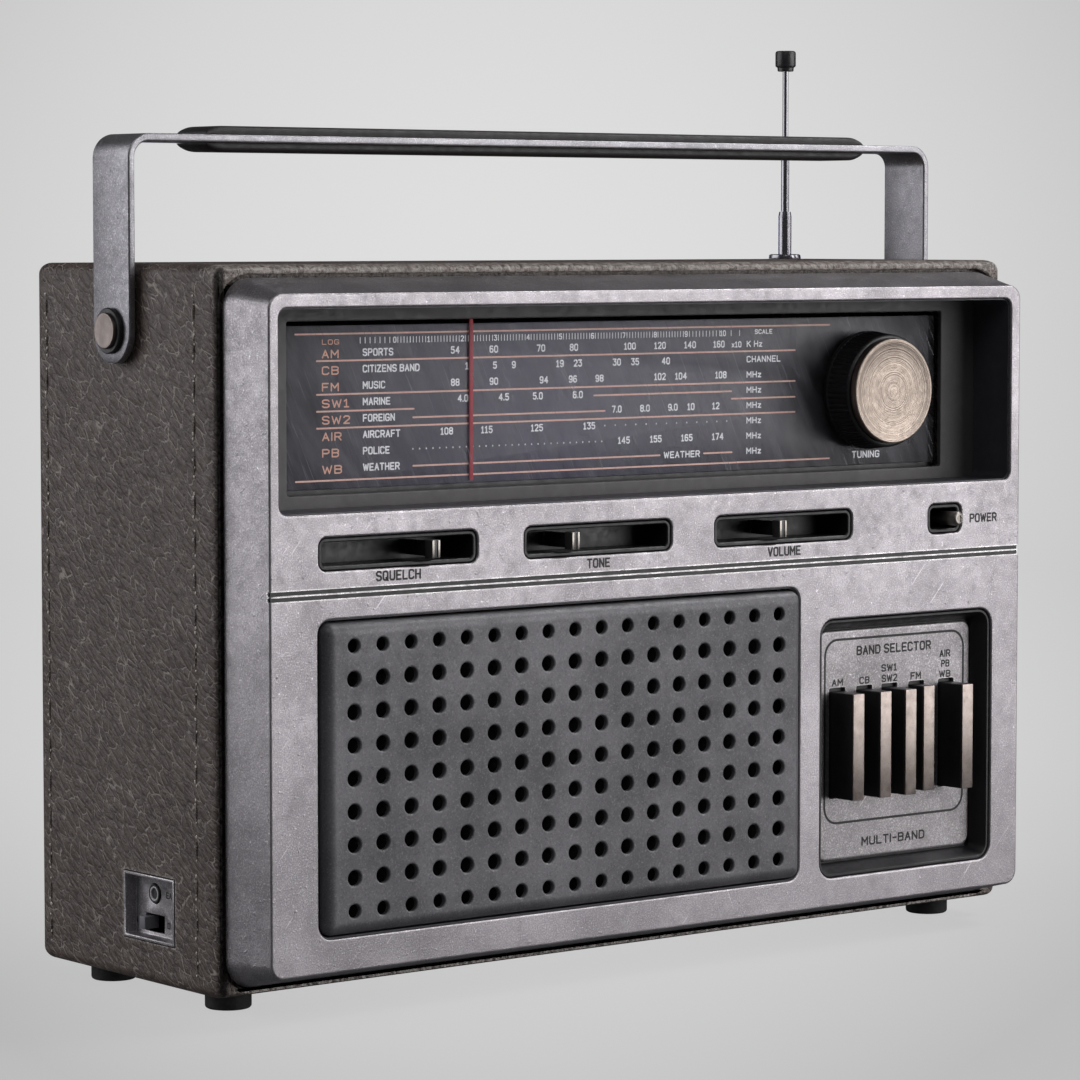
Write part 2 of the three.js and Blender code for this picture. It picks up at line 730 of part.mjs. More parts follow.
function handleStrap() {
  const { outerX, thickness, width } = STRAP;
  const half = width / 2;
  const bent = slab(strapOutline(), PIVOT.y - half, PIVOT.y + half, { x: 0, z: 0 }, 4);
  const ends = [-1, 1].map((side) => {
    const [start, end] = [side * outerX, side * (outerX - thickness)].sort((a, b) => a - b);
    return bar("x", half, start, end, PIVOT, 32);
  });
  return cut(join(bent, ...ends), bar("x", PIVOT.pin + 0.1, -outerX - 1, outerX + 1, PIVOT));
}

// Half of the grip: flat against the strap, with both ends curving in to it.
function gripHalf(side, thickness) {
  const { length, width, endLength } = GRIP;
  const seat = side > 0 ? STRAP.topZ + 0.1 : STRAP.topZ - STRAP.thickness - 0.1;
  const half = length / 2;
  const shape = new THREE.Shape();
  const turn = Math.PI / 2;
  shape.moveTo(-half, 0);
  shape.absellipse(endLength - half, 0, endLength, thickness, Math.PI, turn, true);
  shape.absellipse(half - endLength, 0, endLength, thickness, turn, 0, true);
  const y = width / 2;
  const made = slab(shape, PIVOT.y - y, PIVOT.y + y, { x: 0, z: 0 }, 4);
  const placed = side > 0 ? made : made.mirror([0, 0, 1]);
  return placed.translate([0, 0, seat]);
}

function handlePivot(side) {
  const span = (from, to) => [side * from, side * to].sort((a, b) => a - b);
  const pin = bar("x", PIVOT.pin, ...span(SIDE_X - CABINET.wall - 3, STRAP.outerX + 1), PIVOT);
  const boss = bar("x", 6.6, ...span(STRAP.outerX + 0.25, STRAP.outerX + 1.5), PIVOT);
  const cap = bar("x", 5.2, ...span(STRAP.outerX + 1.4, STRAP.outerX + 2.6), PIVOT);
  return join(pin, boss, cap);
}

// ---- antenna: a guide in the cabinet, three nested tubes and a tip ----

const TUBE_SIDES = 12;
const ANTENNA_STAGES = {
  lower: { outer: 2.2, inner: 1.65, bottom: 67.4, top: 227.4 },
  middle: { outer: 1.35, inner: 1.12, bottom: 96, top: 251 },
};
const ANTENNA_UPPER = { radius: 0.95, bottom: 120, top: 273.8 };

function antennaBase() {
  const cup = bar("z", ANTENNA.cupRadius, TOP_Z + 0.1, TOP_Z + ANTENNA.cupHeight, ANTENNA);
  const guide = bar("z", 3.9, 44, TOP_Z + 1, ANTENNA, 16);
  return cut(join(cup, guide), bar("z", 2.6, 40, TOP_Z + 3, ANTENNA, TUBE_SIDES));
}

function antennaTube({ outer, inner, bottom, top }) {
  return tube("z", outer, inner, bottom, top, ANTENNA, TUBE_SIDES);
}

function antennaTip() {
  const bottom = ANTENNA_UPPER.top + 0.05;
  const profile = [
    [0, 0],
    [2.8, 0],
    [3.4, 1.6],
    [3.4, 6.2],
    [2.9, 6.8],
    [0, 6.8],
  ].map(([radius, z]) => new THREE.Vector2(radius, z));
  return solid(new THREE.LatheGeometry(profile, SIDES).rotateX(Math.PI / 2).translate(ANTENNA.x, ANTENNA.y, bottom));
}

// ---- the assembly ----

addPart("cabinet_shell", cabinetShell(), "leatherette");
addPart("rear_cover", rearCover(), "blackPlastic");
addPart("battery_door", batteryDoor(), "blackPlastic");
addPart("battery_tray", batteryTray(), "blackPlastic");
const FRONT_FOOT_Y = CABINET_FRONT + FOOT.insetY;
const REAR_FOOT_Y = CABINET_REAR - FOOT.insetY;
addPart("foot_front_left", foot(-1, FRONT_FOOT_Y), "rubber");
addPart("foot_front_right", foot(1, FRONT_FOOT_Y), "rubber");
addPart("foot_rear_left", foot(-1, REAR_FOOT_Y), "rubber");
addPart("foot_rear_right", foot(1, REAR_FOOT_Y), "rubber");

addPart("front_bezel", frontBezel(), "silverPaint");
addPart("dial_frame", dialFrame(), "greyPlastic");
addPart("dial_window", dialWindow(), "clearPlastic");
addPart("dial_scale", dialScale(), "dialPlastic");
addPart("control_well", controlWell(), "blackPlastic");
addPart("speaker_grille", speakerGrille(), "grillePaint");
addPart("selector_tray", selectorTray(), "blackPlastic");
addPart("selector_plate", selectorPlate(), "silverPaint");

for (const [name, x] of Object.entries(SLIDER_REST)) {
  addPart(`${name}_slider`, sliderLever(x), "chrome");
}
for (const [name, x] of Object.entries(SLOT_CENTRES)) {
  addPart(`${name}_potentiometer`, potentiometer(x), "steel");
}
addPart("power_toggle", powerToggle(), "chrome");
addPart("power_switch", powerSwitch(), "blackPlastic");

addPart("tuning_knob", tuningKnob(), "blackPlastic");
addPart("tuning_knob_cap", tuningKnobCap(), "champagne");
addPart("tuning_shaft", bar("y", SHAFT_RADIUS, KNOB_RIM + 3.2, SCALE_FRONT + 8, KNOB), "steel");
addPart("tuning_drum", tuningDrum(), "blackPlastic");
addPart("tuning_capacitor", tuningCapacitor(), "steel");
addPart("dial_pointer", dialPointer(), "pointerRed");
addPart("pointer_rail", bar("x", RAIL.radius, -128, 128, RAIL, 12), "steel");

addPart("speaker_basket", speakerBasket(), "steel");
addPart("speaker_cone", speakerCone(), "paperCone");
addPart("speaker_magnet", speakerMagnet(), "ferrite");

for (const name of Object.keys(KEY_CENTRES)) {
  addPart(`band_key_${name}`, bandKey(name), "blackPlastic");
  addPart(`band_key_face_${name}`, bandKeyFace(name), "champagne");
}
addPart("band_switch_bank", bandSwitchBank(), "steel");

addPart("main_circuit_board", mainCircuitBoard(), "circuitBoard");
addPart("ferrite_rod_antenna", ferriteRod(), "ferrite");

addPart("jack_panel", jackPanel(), "silverPaint");
addPart("earphone_jack", earphoneJack(), "chrome");
addPart("side_switch_knob", sideSwitchKnob(), "blackPlastic");

addPart("handle_strap", handleStrap(), "steel");
addPart("handle_grip_upper", gripHalf(1, GRIP.upper), "blackPlastic");
addPart("handle_grip_lower", gripHalf(-1, GRIP.lower), "blackPlastic");
addPart("handle_pivot_left", handlePivot(-1), "champagne");
addPart("handle_pivot_right", handlePivot(1), "champagne");

addPart("antenna_base", antennaBase(), "chrome");
addPart("antenna_tube_lower", antennaTube(ANTENNA_STAGES.lower), "chrome");
addPart("antenna_tube_middle", antennaTube(ANTENNA_STAGES.middle), "chrome");
const { radius: upperRadius, bottom: upperBottom, top: upperTop } = ANTENNA_UPPER;
addPart("antenna_tube_upper", bar("z", upperRadius, upperBottom, upperTop, ANTENNA, TUBE_SIDES), "chrome");
addPart("antenna_tip", antennaTip(), "blackPlastic");

export default radio;
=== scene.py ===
"""Looks of the portable shortwave receiver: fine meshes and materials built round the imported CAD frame.

Meshes are built in millimetres, as the CAD is drawn, and piece() scales them to the frame's metres.
"""
import math
import random

import bmesh
import bpy
from mathutils import Matrix, Vector
from mathutils.geometry import tessellate_polygon


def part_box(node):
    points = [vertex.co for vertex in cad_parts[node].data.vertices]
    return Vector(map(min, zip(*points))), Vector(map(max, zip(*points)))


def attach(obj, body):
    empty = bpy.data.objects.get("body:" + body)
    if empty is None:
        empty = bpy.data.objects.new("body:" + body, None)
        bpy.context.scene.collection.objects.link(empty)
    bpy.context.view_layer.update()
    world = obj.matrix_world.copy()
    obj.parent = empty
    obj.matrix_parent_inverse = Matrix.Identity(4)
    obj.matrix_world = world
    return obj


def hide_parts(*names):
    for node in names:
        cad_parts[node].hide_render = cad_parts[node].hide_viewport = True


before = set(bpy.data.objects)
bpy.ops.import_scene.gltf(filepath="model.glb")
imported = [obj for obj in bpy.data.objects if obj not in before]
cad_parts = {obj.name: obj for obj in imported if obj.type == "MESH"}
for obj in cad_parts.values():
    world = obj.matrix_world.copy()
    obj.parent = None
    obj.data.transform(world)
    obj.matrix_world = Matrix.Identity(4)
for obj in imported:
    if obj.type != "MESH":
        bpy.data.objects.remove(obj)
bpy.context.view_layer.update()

MM = 0.001
QUARTER = math.pi / 2
random.seed(7)


# ---- places that everything is worked out from, in millimetres ----

def box(node):
    return [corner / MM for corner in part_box(node)]


def low(node):
    return box(node)[0]


def high(node):
    return box(node)[1]


def centre(node):
    return (low(node) + high(node)) / 2


def size(node):
    return high(node) - low(node)


def spot(node):
    """(x, z) of a node's middle."""
    return (centre(node).x, centre(node).z)


CASE_LOW, CASE_HIGH = box("cabinet_shell")
CASE_MIDDLE = (CASE_LOW + CASE_HIGH) / 2
CASE_SIZE = CASE_HIGH - CASE_LOW
WALL = 6
FACE_Y = low("front_bezel").y
BEZEL_BACK = high("front_bezel").y - 0.5
BEZEL_SPREAD = 4.1
FACE_WIDTH = size("front_bezel").x - 2 * BEZEL_SPREAD
FACE_HEIGHT = size("front_bezel").z - 2 * BEZEL_SPREAD
FACE_SPOT = spot("front_bezel")
FACE_CORNER = 4.5
BASE_WIDTH = FACE_WIDTH + 2 * BEZEL_SPREAD
BASE_HEIGHT = FACE_HEIGHT + 2 * BEZEL_SPREAD
BASE_CORNER = FACE_CORNER + BEZEL_SPREAD
PLATE_BACK = FACE_Y + 3
DIAL_SPOT = spot("dial_window")
DIAL_FRAME_SHOWING = (16.25, 5.45)
DIAL_OPENING = (
    size("dial_window").x + 2 * DIAL_FRAME_SHOWING[0], size("dial_window").z + 2 * DIAL_FRAME_SHOWING[1], 2.8
)
DIAL_BACK = low("dial_frame").y - 0.3
SLIDES = ("squelch", "tone", "volume")
SLOT_Z = centre("squelch_potentiometer").z
SLOT = (size("squelch_potentiometer").x - 4.1, 9.6, 2.7)
SLOT_SPOTS = [spot(name + "_potentiometer") for name in SLIDES]
POWER_SPOT = spot("power_switch")
POWER = (14.5, 9.4, 2.7)
GRILLE_SPOT = spot("speaker_grille")
GRILLE = (size("speaker_grille").x, size("speaker_grille").z, 3)
SPEAKER_OPENING = (GRILLE[0] + 2, GRILLE[1] + 2, 4.2)
TRAY_SPOT = spot("selector_tray")
TRAY = (size("selector_tray").x + 0.6, size("selector_tray").z + 0.6, 5.2)
GROOVE_Z = 119.85
GROOVE_HALF_GAP = 0.8
KNOB_SPOT = spot("tuning_knob")
PIVOT = centre("handle_pivot_left")
BAND_KEYS = ("am", "cb", "sw", "fm", "air")
LEAST_CORNER = 0.6


# ---- mesh helpers ----

def arc(middle, radius, start, end, steps, skip=0):
    """Points on a circle about middle, from start to end in quarter turns, without the first skip points."""
    points = []
    for k in range(skip, steps + 1):
        angle = (start + (end - start) * k / steps) * QUARTER
        points.append((middle[0] + radius * math.cos(angle), middle[1] + radius * math.sin(angle)))
    return points


def rounded(width, height, corner, steps=8):
    """Outline of a rounded rectangle round the origin, anticlockwise."""
    corner = min(max(corner, LEAST_CORNER), width / 2, height / 2)
    points = []
    for quarter, (sx, sz) in enumerate(((1, 1), (-1, 1), (-1, -1), (1, -1))):
        middle = (sx * (width / 2 - corner), sz * (height / 2 - corner))
        points += arc(middle, corner, quarter, quarter + 1, steps)
    return points


def rounding(radius, y, steps=4, hold=0.25, depth=None):
    """(offset, y) pairs of a rounded edge, from the flat face to the wall, reaching back from y."""
    depth = depth or radius
    pairs = [(radius + hold, y)]
    for k in range(steps + 1):
        angle = k / steps * QUARTER
        pairs.append((radius * (1 - math.sin(angle)), y + depth * (1 - math.cos(angle))))
    return pairs


def bridge(bm, first, second):
    count = len(first)
    for i in range(count):
        j = (i + 1) % count
        bm.faces.new((first[i], first[j], second[j], second[i]))


def join(bm, rings, ends="open"):
    """Quads between rings in turn. ends: open, closed with a flat face each, or looped back to the start."""
    for first, second in zip(rings, rings[1:]):
        bridge(bm, first, second)
    if ends == "closed":
        bm.faces.new(rings[0])
        bm.faces.new(rings[-1])
    if ends == "looped":
        bridge(bm, rings[-1], rings[0])
    return rings


def sweep(bm, place, outline, profile, grow=-1, ends="open"):
    """Rings of a rounded rectangle, shrunk (grow -1) or widened (grow 1) by each offset, joined by quads."""
    width, height, corner = outline
    rings = []
    for offset, y in profile:
        change = grow * offset
        points = rounded(width + 2 * change, height + 2 * change, corner + change)
        rings.append([bm.verts.new((place[0] + x, y, place[1] + z)) for x, z in points])
    return join(bm, rings, ends)


def fill(bm, outer, holes=()):
    """A flat face between an outer ring and the rings of its holes."""
    loops = [outer, *holes]
    vertices = [vertex for loop in loops for vertex in loop]
    for triangle in tessellate_polygon([[vertex.co for vertex in loop] for loop in loops]):
        bm.faces.new([vertices[i] for i in triangle])


def cover(bm, first, second, holes=()):
    """Closes the two flat ends of a swept part, round the ends of its holes."""
    fill(bm, first, [rings[0] for rings in holes])
    fill(bm, second, [rings[-1] for rings in holes])


def lathe(bm, middle, profile, axis, sides, wave=None, ends="open"):
    """Turns (radius, distance) pairs about an axis through middle; wave(angle, distance) adds to the radius.
    """
    along = Vector({"x": (1, 0, 0), "y": (0, 1, 0), "z": (0, 0, 1)}[axis])
    across = Vector((0, 1, 0)) if axis == "x" else Vector((1, 0, 0))
    third = along.cross(across)
    rings = []
    for radius, distance in profile:
        ring = []
        for k in range(sides):
            angle = 2 * math.pi * k / sides
            reach = radius + (wave(angle, distance) if wave and radius > 0 else 0)
            direction = across * math.cos(angle) + third * math.sin(angle)
            ring.append(bm.verts.new(Vector(middle) + along * distance + direction * reach))
        rings.append(ring)
    return join(bm, rings, ends)


def block(bm, corner_a, corner_b, bevel=0.0, segments=2):
    """A box between two corners with softened edges."""
    a, b = Vector(corner_a), Vector(corner_b)
    made = bmesh.ops.create_cube(bm, size=1)
    vertices = made["verts"]
    scale = Matrix.Diagonal((*[abs(d) for d in b - a], 1))
    bmesh.ops.transform(bm, matrix=Matrix.Translation((a + b) / 2) @ scale, verts=vertices)
    if bevel:
        edges = list({edge for vertex in vertices for edge in vertex.link_edges})
        bmesh.ops.bevel(bm, geom=edges, offset=bevel, segments=segments, profile=0.5, affect="EDGES")


def placed(name, bm):
    """An object in the scene with the bmesh as its mesh, in metres."""
    mesh = bpy.data.meshes.new(name)
    bm.to_mesh(mesh)
    bm.free()
    mesh.transform(Matrix.Scale(MM, 4))
    made = bpy.data.objects.new(name, mesh)
    bpy.context.scene.collection.objects.link(made)
    return made


def smoothed(mesh, look, angle):
    """Gives a mesh its material and smooth shading, but for edges sharper than angle degrees."""
    mesh.materials.append(look)
    mesh.polygons.foreach_set("use_smooth", [True] * len(mesh.polygons))
    mesh.set_sharp_from_angle(angle=math.radians(angle))


def piece(name, bm, body, look, replaces=(), smooth=32):
    """Turns a bmesh into an object that rides on a body."""
    bmesh.ops.remove_doubles(bm, verts=bm.verts, dist=0.004)
    bmesh.ops.recalc_face_normals(bm, faces=bm.faces)
    made = placed(name, bm)
    smoothed(made.data, look, smooth)
    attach(made, body)
    if replaces:
        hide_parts(*replaces)
    return made


def refined(node, body, look, bevel, segments, name):
    """A copy of a CAD node with softened edges, shown in its place."""
    bm = bmesh.new()
    bm.from_mesh(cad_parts[node].data)
    bmesh.ops.remove_doubles(bm, verts=bm.verts, dist=0.01 * MM)
    bmesh.ops.dissolve_limit(bm, angle_limit=math.radians(1), verts=bm.verts, edges=bm.edges)
    sharp = [edge for edge in bm.edges if edge.calc_face_angle(0) > math.radians(35)]
    bmesh.ops.bevel(
        bm, geom=sharp, offset=bevel * MM, segments=segments, profile=0.5, affect="EDGES", clamp_overlap=True
    )
    bmesh.ops.scale(bm, vec=(1 / MM,) * 3, verts=bm.verts)
    piece(name, bm, body, look, (node,), smooth=40)


def carve(target, builders):
    """Cuts what each build(bm) makes out of an object and keeps the result as its mesh."""
    cutters = []
    for build in builders:
        bm = bmesh.new()
        build(bm)
        bmesh.ops.recalc_face_normals(bm, faces=bm.faces)
        cutters.append(placed("cutter", bm))
        modifier = target.modifiers.new("carve", "BOOLEAN")
        modifier.operation = "DIFFERENCE"
        modifier.solver = "EXACT"
        modifier.object = cutters[-1]
    graph = bpy.context.evaluated_depsgraph_get()
    made = bpy.data.meshes.new_from_object(target.evaluated_get(graph))
    target.modifiers.clear()
    target.data = made
    made.set_sharp_from_angle(angle=math.radians(32))
    for cutter in cutters:
        bpy.data.objects.remove(cutter)


# ---- material helpers ----

def shade(tint, share, lift=0.0):
    """A tint scaled by share and lifted, at most 1."""
    return [min(channel * share + lift, 1) for channel in tint]


class Look:
    """A node material under construction; all lengths inside its textures are millimetres."""

    def __init__(self, name, roughness=0.5, metallic=0.0):
        self.material = bpy.data.materials.new(name)
        self.material.use_nodes = True
        self.tree = self.material.node_tree
        self.shader = self.tree.nodes["Principled BSDF"]
        self.set(Roughness=roughness, Metallic=metallic)
        coordinates = self.tree.nodes.new("ShaderNodeTexCoord")
        self.place = self.vector("SCALE", coordinates.outputs["Object"])
        self.place.node.inputs["Scale"].default_value = 1 / MM

    def link(self, source, target):
        self.tree.links.new(source, target)

    def feed(self, target, value):
        """Links an output to a socket, or sets the socket to a number or a colour."""
        if hasattr(value, "is_output"):
            self.link(value, target)
        else:
            target.default_value = (*value, 1) if target.type == "RGBA" else value

    def vector(self, operation, *values):
        """The first output of a vector math node that is fed the values in turn."""
        node = self.tree.nodes.new("ShaderNodeVectorMath")
        node.operation = operation
        for socket, value in zip(node.inputs, values):
            self.feed(socket, value)
        return node.outputs[0]

    def stretched(self, turn=(0, 0, 0), scale=(1, 1, 1)):
        """Place turned by degrees and then scaled along its own axes."""
        turning = self.tree.nodes.new("ShaderNodeMapping")
        turning.vector_type = "POINT"
        turning.inputs["Rotation"].default_value = [math.radians(a) for a in turn]
        self.link(self.place, turning.inputs["Vector"])
        return self.vector("MULTIPLY", turning.outputs[0], scale)

    def noise(self, feature, detail=3.0, roughness=0.5, place=None, distortion=0.0, output="Fac"):
        """Cloudy noise whose patches are about feature millimetres across."""
        node = self.tree.nodes.new("ShaderNodeTexNoise")
        node.inputs["Scale"].default_value = 1 / feature
        node.inputs["Detail"].default_value = detail
        node.inputs["Roughness"].default_value = roughness
        node.inputs["Distortion"].default_value = distortion
        self.link(place or self.place, node.inputs["Vector"])
        return node.outputs[output]

    def cells(self, feature, place):
        """Distance to the edge between cells about feature millimetres across."""
        node = self.tree.nodes.new("ShaderNodeTexVoronoi")
        node.feature = "DISTANCE_TO_EDGE"
        node.inputs["Scale"].default_value = 1 / feature
        self.link(place, node.inputs["Vector"])
        return node.outputs["Distance"]

    def shaken(self, feature, amount, place):
        """Place moved about by noise, so that cells lose their straight sides."""
        shift = self.noise(feature, 2, 0.5, place, output="Color")
        return self.vector("MULTIPLY_ADD", shift, (amount,) * 3, place)

    def span(self, value, low_in, high_in, low_out=0.0, high_out=1.0):
        node = self.tree.nodes.new("ShaderNodeMapRange")
        for name, number in (("Value", value), ("From Min", low_in), ("From Max", high_in),
                             ("To Min", low_out), ("To Max", high_out)):
            self.feed(node.inputs[name], number)
        return node.outputs["Result"]

    def calc(self, operation, a, b=0.0):
        node = self.tree.nodes.new("ShaderNodeMath")
        node.operation = operation
        self.feed(node.inputs[0], a)
        self.feed(node.inputs[1], b)
        return node.outputs[0]

    def times(self, a, b):
        return self.calc("MULTIPLY", a, b)

    def blend(self, factor, first, second):
        """The first colour where factor is 0 and the second where it is 1."""
        node = self.tree.nodes.new("ShaderNodeMix")
        node.data_type = "RGBA"
        self.feed(node.inputs["Factor"], factor)
        colours = [socket for socket in node.inputs if socket.type == "RGBA"]
        for socket, value in zip(colours, (first, second)):
            self.feed(socket, value)
        return [socket for socket in node.outputs if socket.type == "RGBA"][0]

    def edges(self, radius):
        """1 on edges rounder than radius millimetres, 0 on flats."""
        bevel = self.tree.nodes.new("ShaderNodeBevel")
        bevel.samples = 4
        bevel.inputs["Radius"].default_value = radius * MM
        normal = self.tree.nodes.new("ShaderNodeNewGeometry")
        facing = self.vector("DOT_PRODUCT", bevel.outputs[0], normal.outputs["Normal"])
        return self.span(facing.node.outputs["Value"], 0.98, 0.85)

    def axis(self, letter):
        split = self.tree.nodes.new("ShaderNodeSeparateXYZ")
        self.link(self.place, split.inputs[0])
        return split.outputs[letter]

    def colour(self, value):
        self.feed(self.shader.inputs["Base Color"], value)

    def set(self, **values):
        """Feeds the shader's sockets, named with _ for each space."""
        for name, value in values.items():
            self.feed(self.shader.inputs[name.replace("_", " ")], value)

    def rough(self, feature, detail, low_out, high_out):
        """Roughness that wanders between two values."""
        self.set(Roughness=self.span(self.noise(feature, detail), 0.3, 0.7, low_out, high_out))

    def bump(self, height, distance, strength=1.0):
        """Bump from a height of 0 to 1 that stands for distance millimetres."""
        node = self.tree.nodes.new("ShaderNodeBump")
        node.inputs["Strength"].default_value = strength
        node.inputs["Distance"].default_value = distance * MM
        self.link(height, node.inputs["Height"])
        previous = self.shader.inputs["Normal"]
        if previous.is_linked:
            self.link(previous.links[0].from_socket, node.inputs["Normal"])
        self.link(node.outputs[0], previous)


# ---- materials ----

def leatherette():
    """Dark brown padded leatherette: fine diagonal pebbles parted by thin, broken creases, whose shine is a
    painted highlight.
    """
    look = Look("leatherette")
    diagonal = look.stretched(turn=(50, 0, 0), scale=(1.0, 1.0, 0.42))
    coarse = look.cells(2.5, look.shaken(3.0, 1.6, diagonal))
    fine = look.cells(1.15, look.shaken(1.4, 0.7, diagonal))
    long_crease = look.span(coarse, 0.015, 0.055, 1, 0)
    short_crease = look.span(fine, 0.02, 0.1, 1, 0)
    pillows = look.calc(
        "ADD", look.times(look.span(coarse, 0.0, 0.4), 0.55), look.times(look.span(fine, 0.0, 0.35), 0.3)
    )
    height = look.calc("ADD", pillows, look.times(look.noise(0.45, 3.0, 0.6), 0.35))
    patches = look.span(look.noise(24, 4.0, 0.6), 0.35, 0.68)
    base = look.blend(patches, (0.086, 0.06, 0.051), (0.12, 0.089, 0.079))
    flecks = look.span(look.noise(0.5, 3.0, 0.7), 0.55, 0.72, 0, 0.3)
    base = look.blend(flecks, base, (0.2, 0.165, 0.15))
    # Painted shade: the leather darkens towards the cell edges, in the creases.
    hollow = look.span(coarse, 0.05, 0.16, 0.55, 0)
    base = look.blend(hollow, base, (0.02, 0.015, 0.014))
    # Painted highlight: pale thin broken lines along the creases stand in for glints on their edges.
    shown = look.span(look.noise(4.5, 4.0, 0.65), 0.4, 0.58)
    faint = look.span(look.noise(3.2, 3.0, 0.6), 0.5, 0.64, 0, 0.4)
    lines = look.calc("MAXIMUM", look.times(long_crease, shown), look.times(short_crease, faint))
    base = look.blend(look.times(lines, 0.72), base, (0.5, 0.43, 0.385))
    # Paler edges: partly worn leather, partly painted highlight on the rounded edges.
    edge_wear_and_sheen = look.times(look.edges(1.5), look.span(look.noise(1.3, 4.0, 0.7), 0.42, 0.58))
    base = look.blend(look.times(edge_wear_and_sheen, 0.9), base, (0.7, 0.65, 0.6))
    # Painted highlight: broken pale patches along the top front lip, where light catches the rounded edge.
    top = look.span(look.axis("Z"), CASE_HIGH.z - 7, CASE_HIGH.z - 3)
    front = look.span(look.axis("Y"), CASE_LOW.y + 5, CASE_LOW.y + 3)
    lip_highlight = look.times(look.times(top, front), look.span(look.noise(1.7, 5.0, 0.7), 0.4, 0.62, 0, 0.6))
    base = look.blend(lip_highlight, base, (0.62, 0.57, 0.53))
    # Painted shade: the front lip left of the bezel, which the bezel shadows, is darkened almost to black and
    # its specular lowered.
    seam = FACE_SPOT[0] - BASE_WIDTH / 2
    beside = look.span(look.axis("X"), seam + 1, seam)
    lip_shade = look.times(beside, look.span(look.axis("Y"), CASE_LOW.y + 1.6, CASE_LOW.y + 0.3))
    look.colour(look.blend(look.times(lip_shade, 0.85), base, (0.006, 0.005, 0.006)))
    look.rough(1.2, 3.0, 0.36, 0.54)
    look.set(Specular_IOR_Level=look.span(lip_shade, 0, 1, 0.45, 0.1))
    look.bump(height, 0.34, 0.95)
    look.bump(look.noise(30, 2.0), 0.6, 0.4)
    return look.material


def silver(name, tint, roughness, edge_wear_and_sheen_share):
    """Aged silver: mottled tone, fine dark specks, hair scratches and bright edges, partly worn and partly
    painted highlight.
    """
    look = Look(name, metallic=0.8)
    clouds = look.span(look.noise(34, 5.0, 0.62, distortion=0.4), 0.34, 0.68)
    base = look.blend(clouds, shade(tint, 0.64), tint)
    grain = look.noise(0.42, 3.0, 0.7)
    base = look.blend(look.span(grain, 0.5, 0.68, 0, 0.6), base, shade(tint, 0.35))
    base = look.blend(look.span(grain, 0.45, 0.3, 0, 0.75), base, shade(tint, 1.9))
    nicks = look.span(look.noise(1.3, 3.0, 0.6), 0.68, 0.74, 0, 0.7)
    base = look.blend(nicks, base, shade(tint, 2.1))
    stains = look.span(look.noise(7, 7.0, 0.75), 0.5, 0.72, 0, 0.6)
    base = look.blend(stains, base, shade(tint, 0.5))
    scratches = []
    for turn in (24, -41):
        hair = look.noise(1.0, 1.0, 0.4, look.stretched(turn=(0, turn, turn), scale=(1.6, 1.6, 0.05)))
        patch = look.span(look.noise(22 + turn / 6, 2.0), 0.58, 0.66)
        scratches.append(look.times(look.span(hair, 0.71, 0.74), patch))
    base = look.blend(look.times(look.calc("MAXIMUM", *scratches), 0.6), base, shade(tint, 1.8))
    # Bright edges: partly worn paint, partly painted highlight on the rounded edges.
    edge_wear_and_sheen = look.times(look.edges(0.8), look.span(look.noise(5, 5.0, 0.7), 0.38, 0.55, 0.25, 1))
    edge_wear_and_sheen = look.times(edge_wear_and_sheen, edge_wear_and_sheen_share)
    look.colour(look.blend(edge_wear_and_sheen, base, (0.9, 0.88, 0.88)))
    rough = look.span(look.noise(3.0, 5.0, 0.65), 0.3, 0.7, roughness - 0.07, roughness + 0.12)
    look.set(Roughness=look.calc("SUBTRACT", rough, look.times(edge_wear_and_sheen, 0.12)))
    look.bump(grain, 0.07, 0.7)
    dents = look.span(look.noise(1.7, 2.0), 0.66, 0.74)
    look.bump(dents, 0.06, 0.7)
    return look.material


def moulded(name, tint, roughness, edge_wear_and_sheen_share, grain=0.03):
    """Moulded plastic with fine texture, dust and paler edges, partly worn and partly painted highlight."""
    look = Look(name)
    dust = look.span(look.noise(7, 6.0, 0.7), 0.5, 0.75, 0, 0.25)
    base = look.blend(dust, tint, shade(tint, 1.6, 0.012))
    # Paler edges: partly worn plastic, partly painted highlight.
    edge_wear_and_sheen = look.times(look.edges(0.5), look.span(look.noise(3, 5.0, 0.7), 0.4, 0.6, 0.2, 1))
    look.colour(look.blend(look.times(edge_wear_and_sheen, edge_wear_and_sheen_share), base, [c * 4 + 0.05 for c in tint]))
    look.rough(2.2, 4.0, roughness - 0.08, roughness + 0.1)
    look.bump(look.noise(0.4, 3.0), grain, 0.7)
    return look.material


def metal(name, tint, roughness, brushed, mottled):
    """Bare or plated metal. brushed names the axis that the fine lines run along, or is None."""
    look = Look(name, metallic=1.0)
    base = look.blend(look.span(look.noise(6, 5.0, 0.65), 0.35, 0.7), tint, shade(tint, 1 - mottled * 2))
    specks = look.span(look.noise(0.7, 3.0, 0.7), 0.56, 0.72, 0, mottled * 3.5)
    base = look.blend(specks, base, shade(tint, 0.4))
    # Brighter edges: partly worn metal, partly painted highlight on the rims.
    edge_wear_and_sheen = look.times(look.edges(0.3), look.span(look.noise(2, 4.0), 0.35, 0.6, 0.4, 0.9))
    look.colour(look.blend(edge_wear_and_sheen, base, shade(tint, 2.2)))
    look.rough(2.5, 4.0, roughness - 0.06, roughness + 0.1)
    if brushed:
        scale = [0.03 if axis == brushed else 3 for axis in "xyz"]
        look.bump(look.noise(1.0, 2.0, 0.5, look.stretched(scale=scale)), 0.02, 0.6)
    else:
        look.bump(look.noise(0.5, 3.0), 0.012, 0.5)
    return look.material


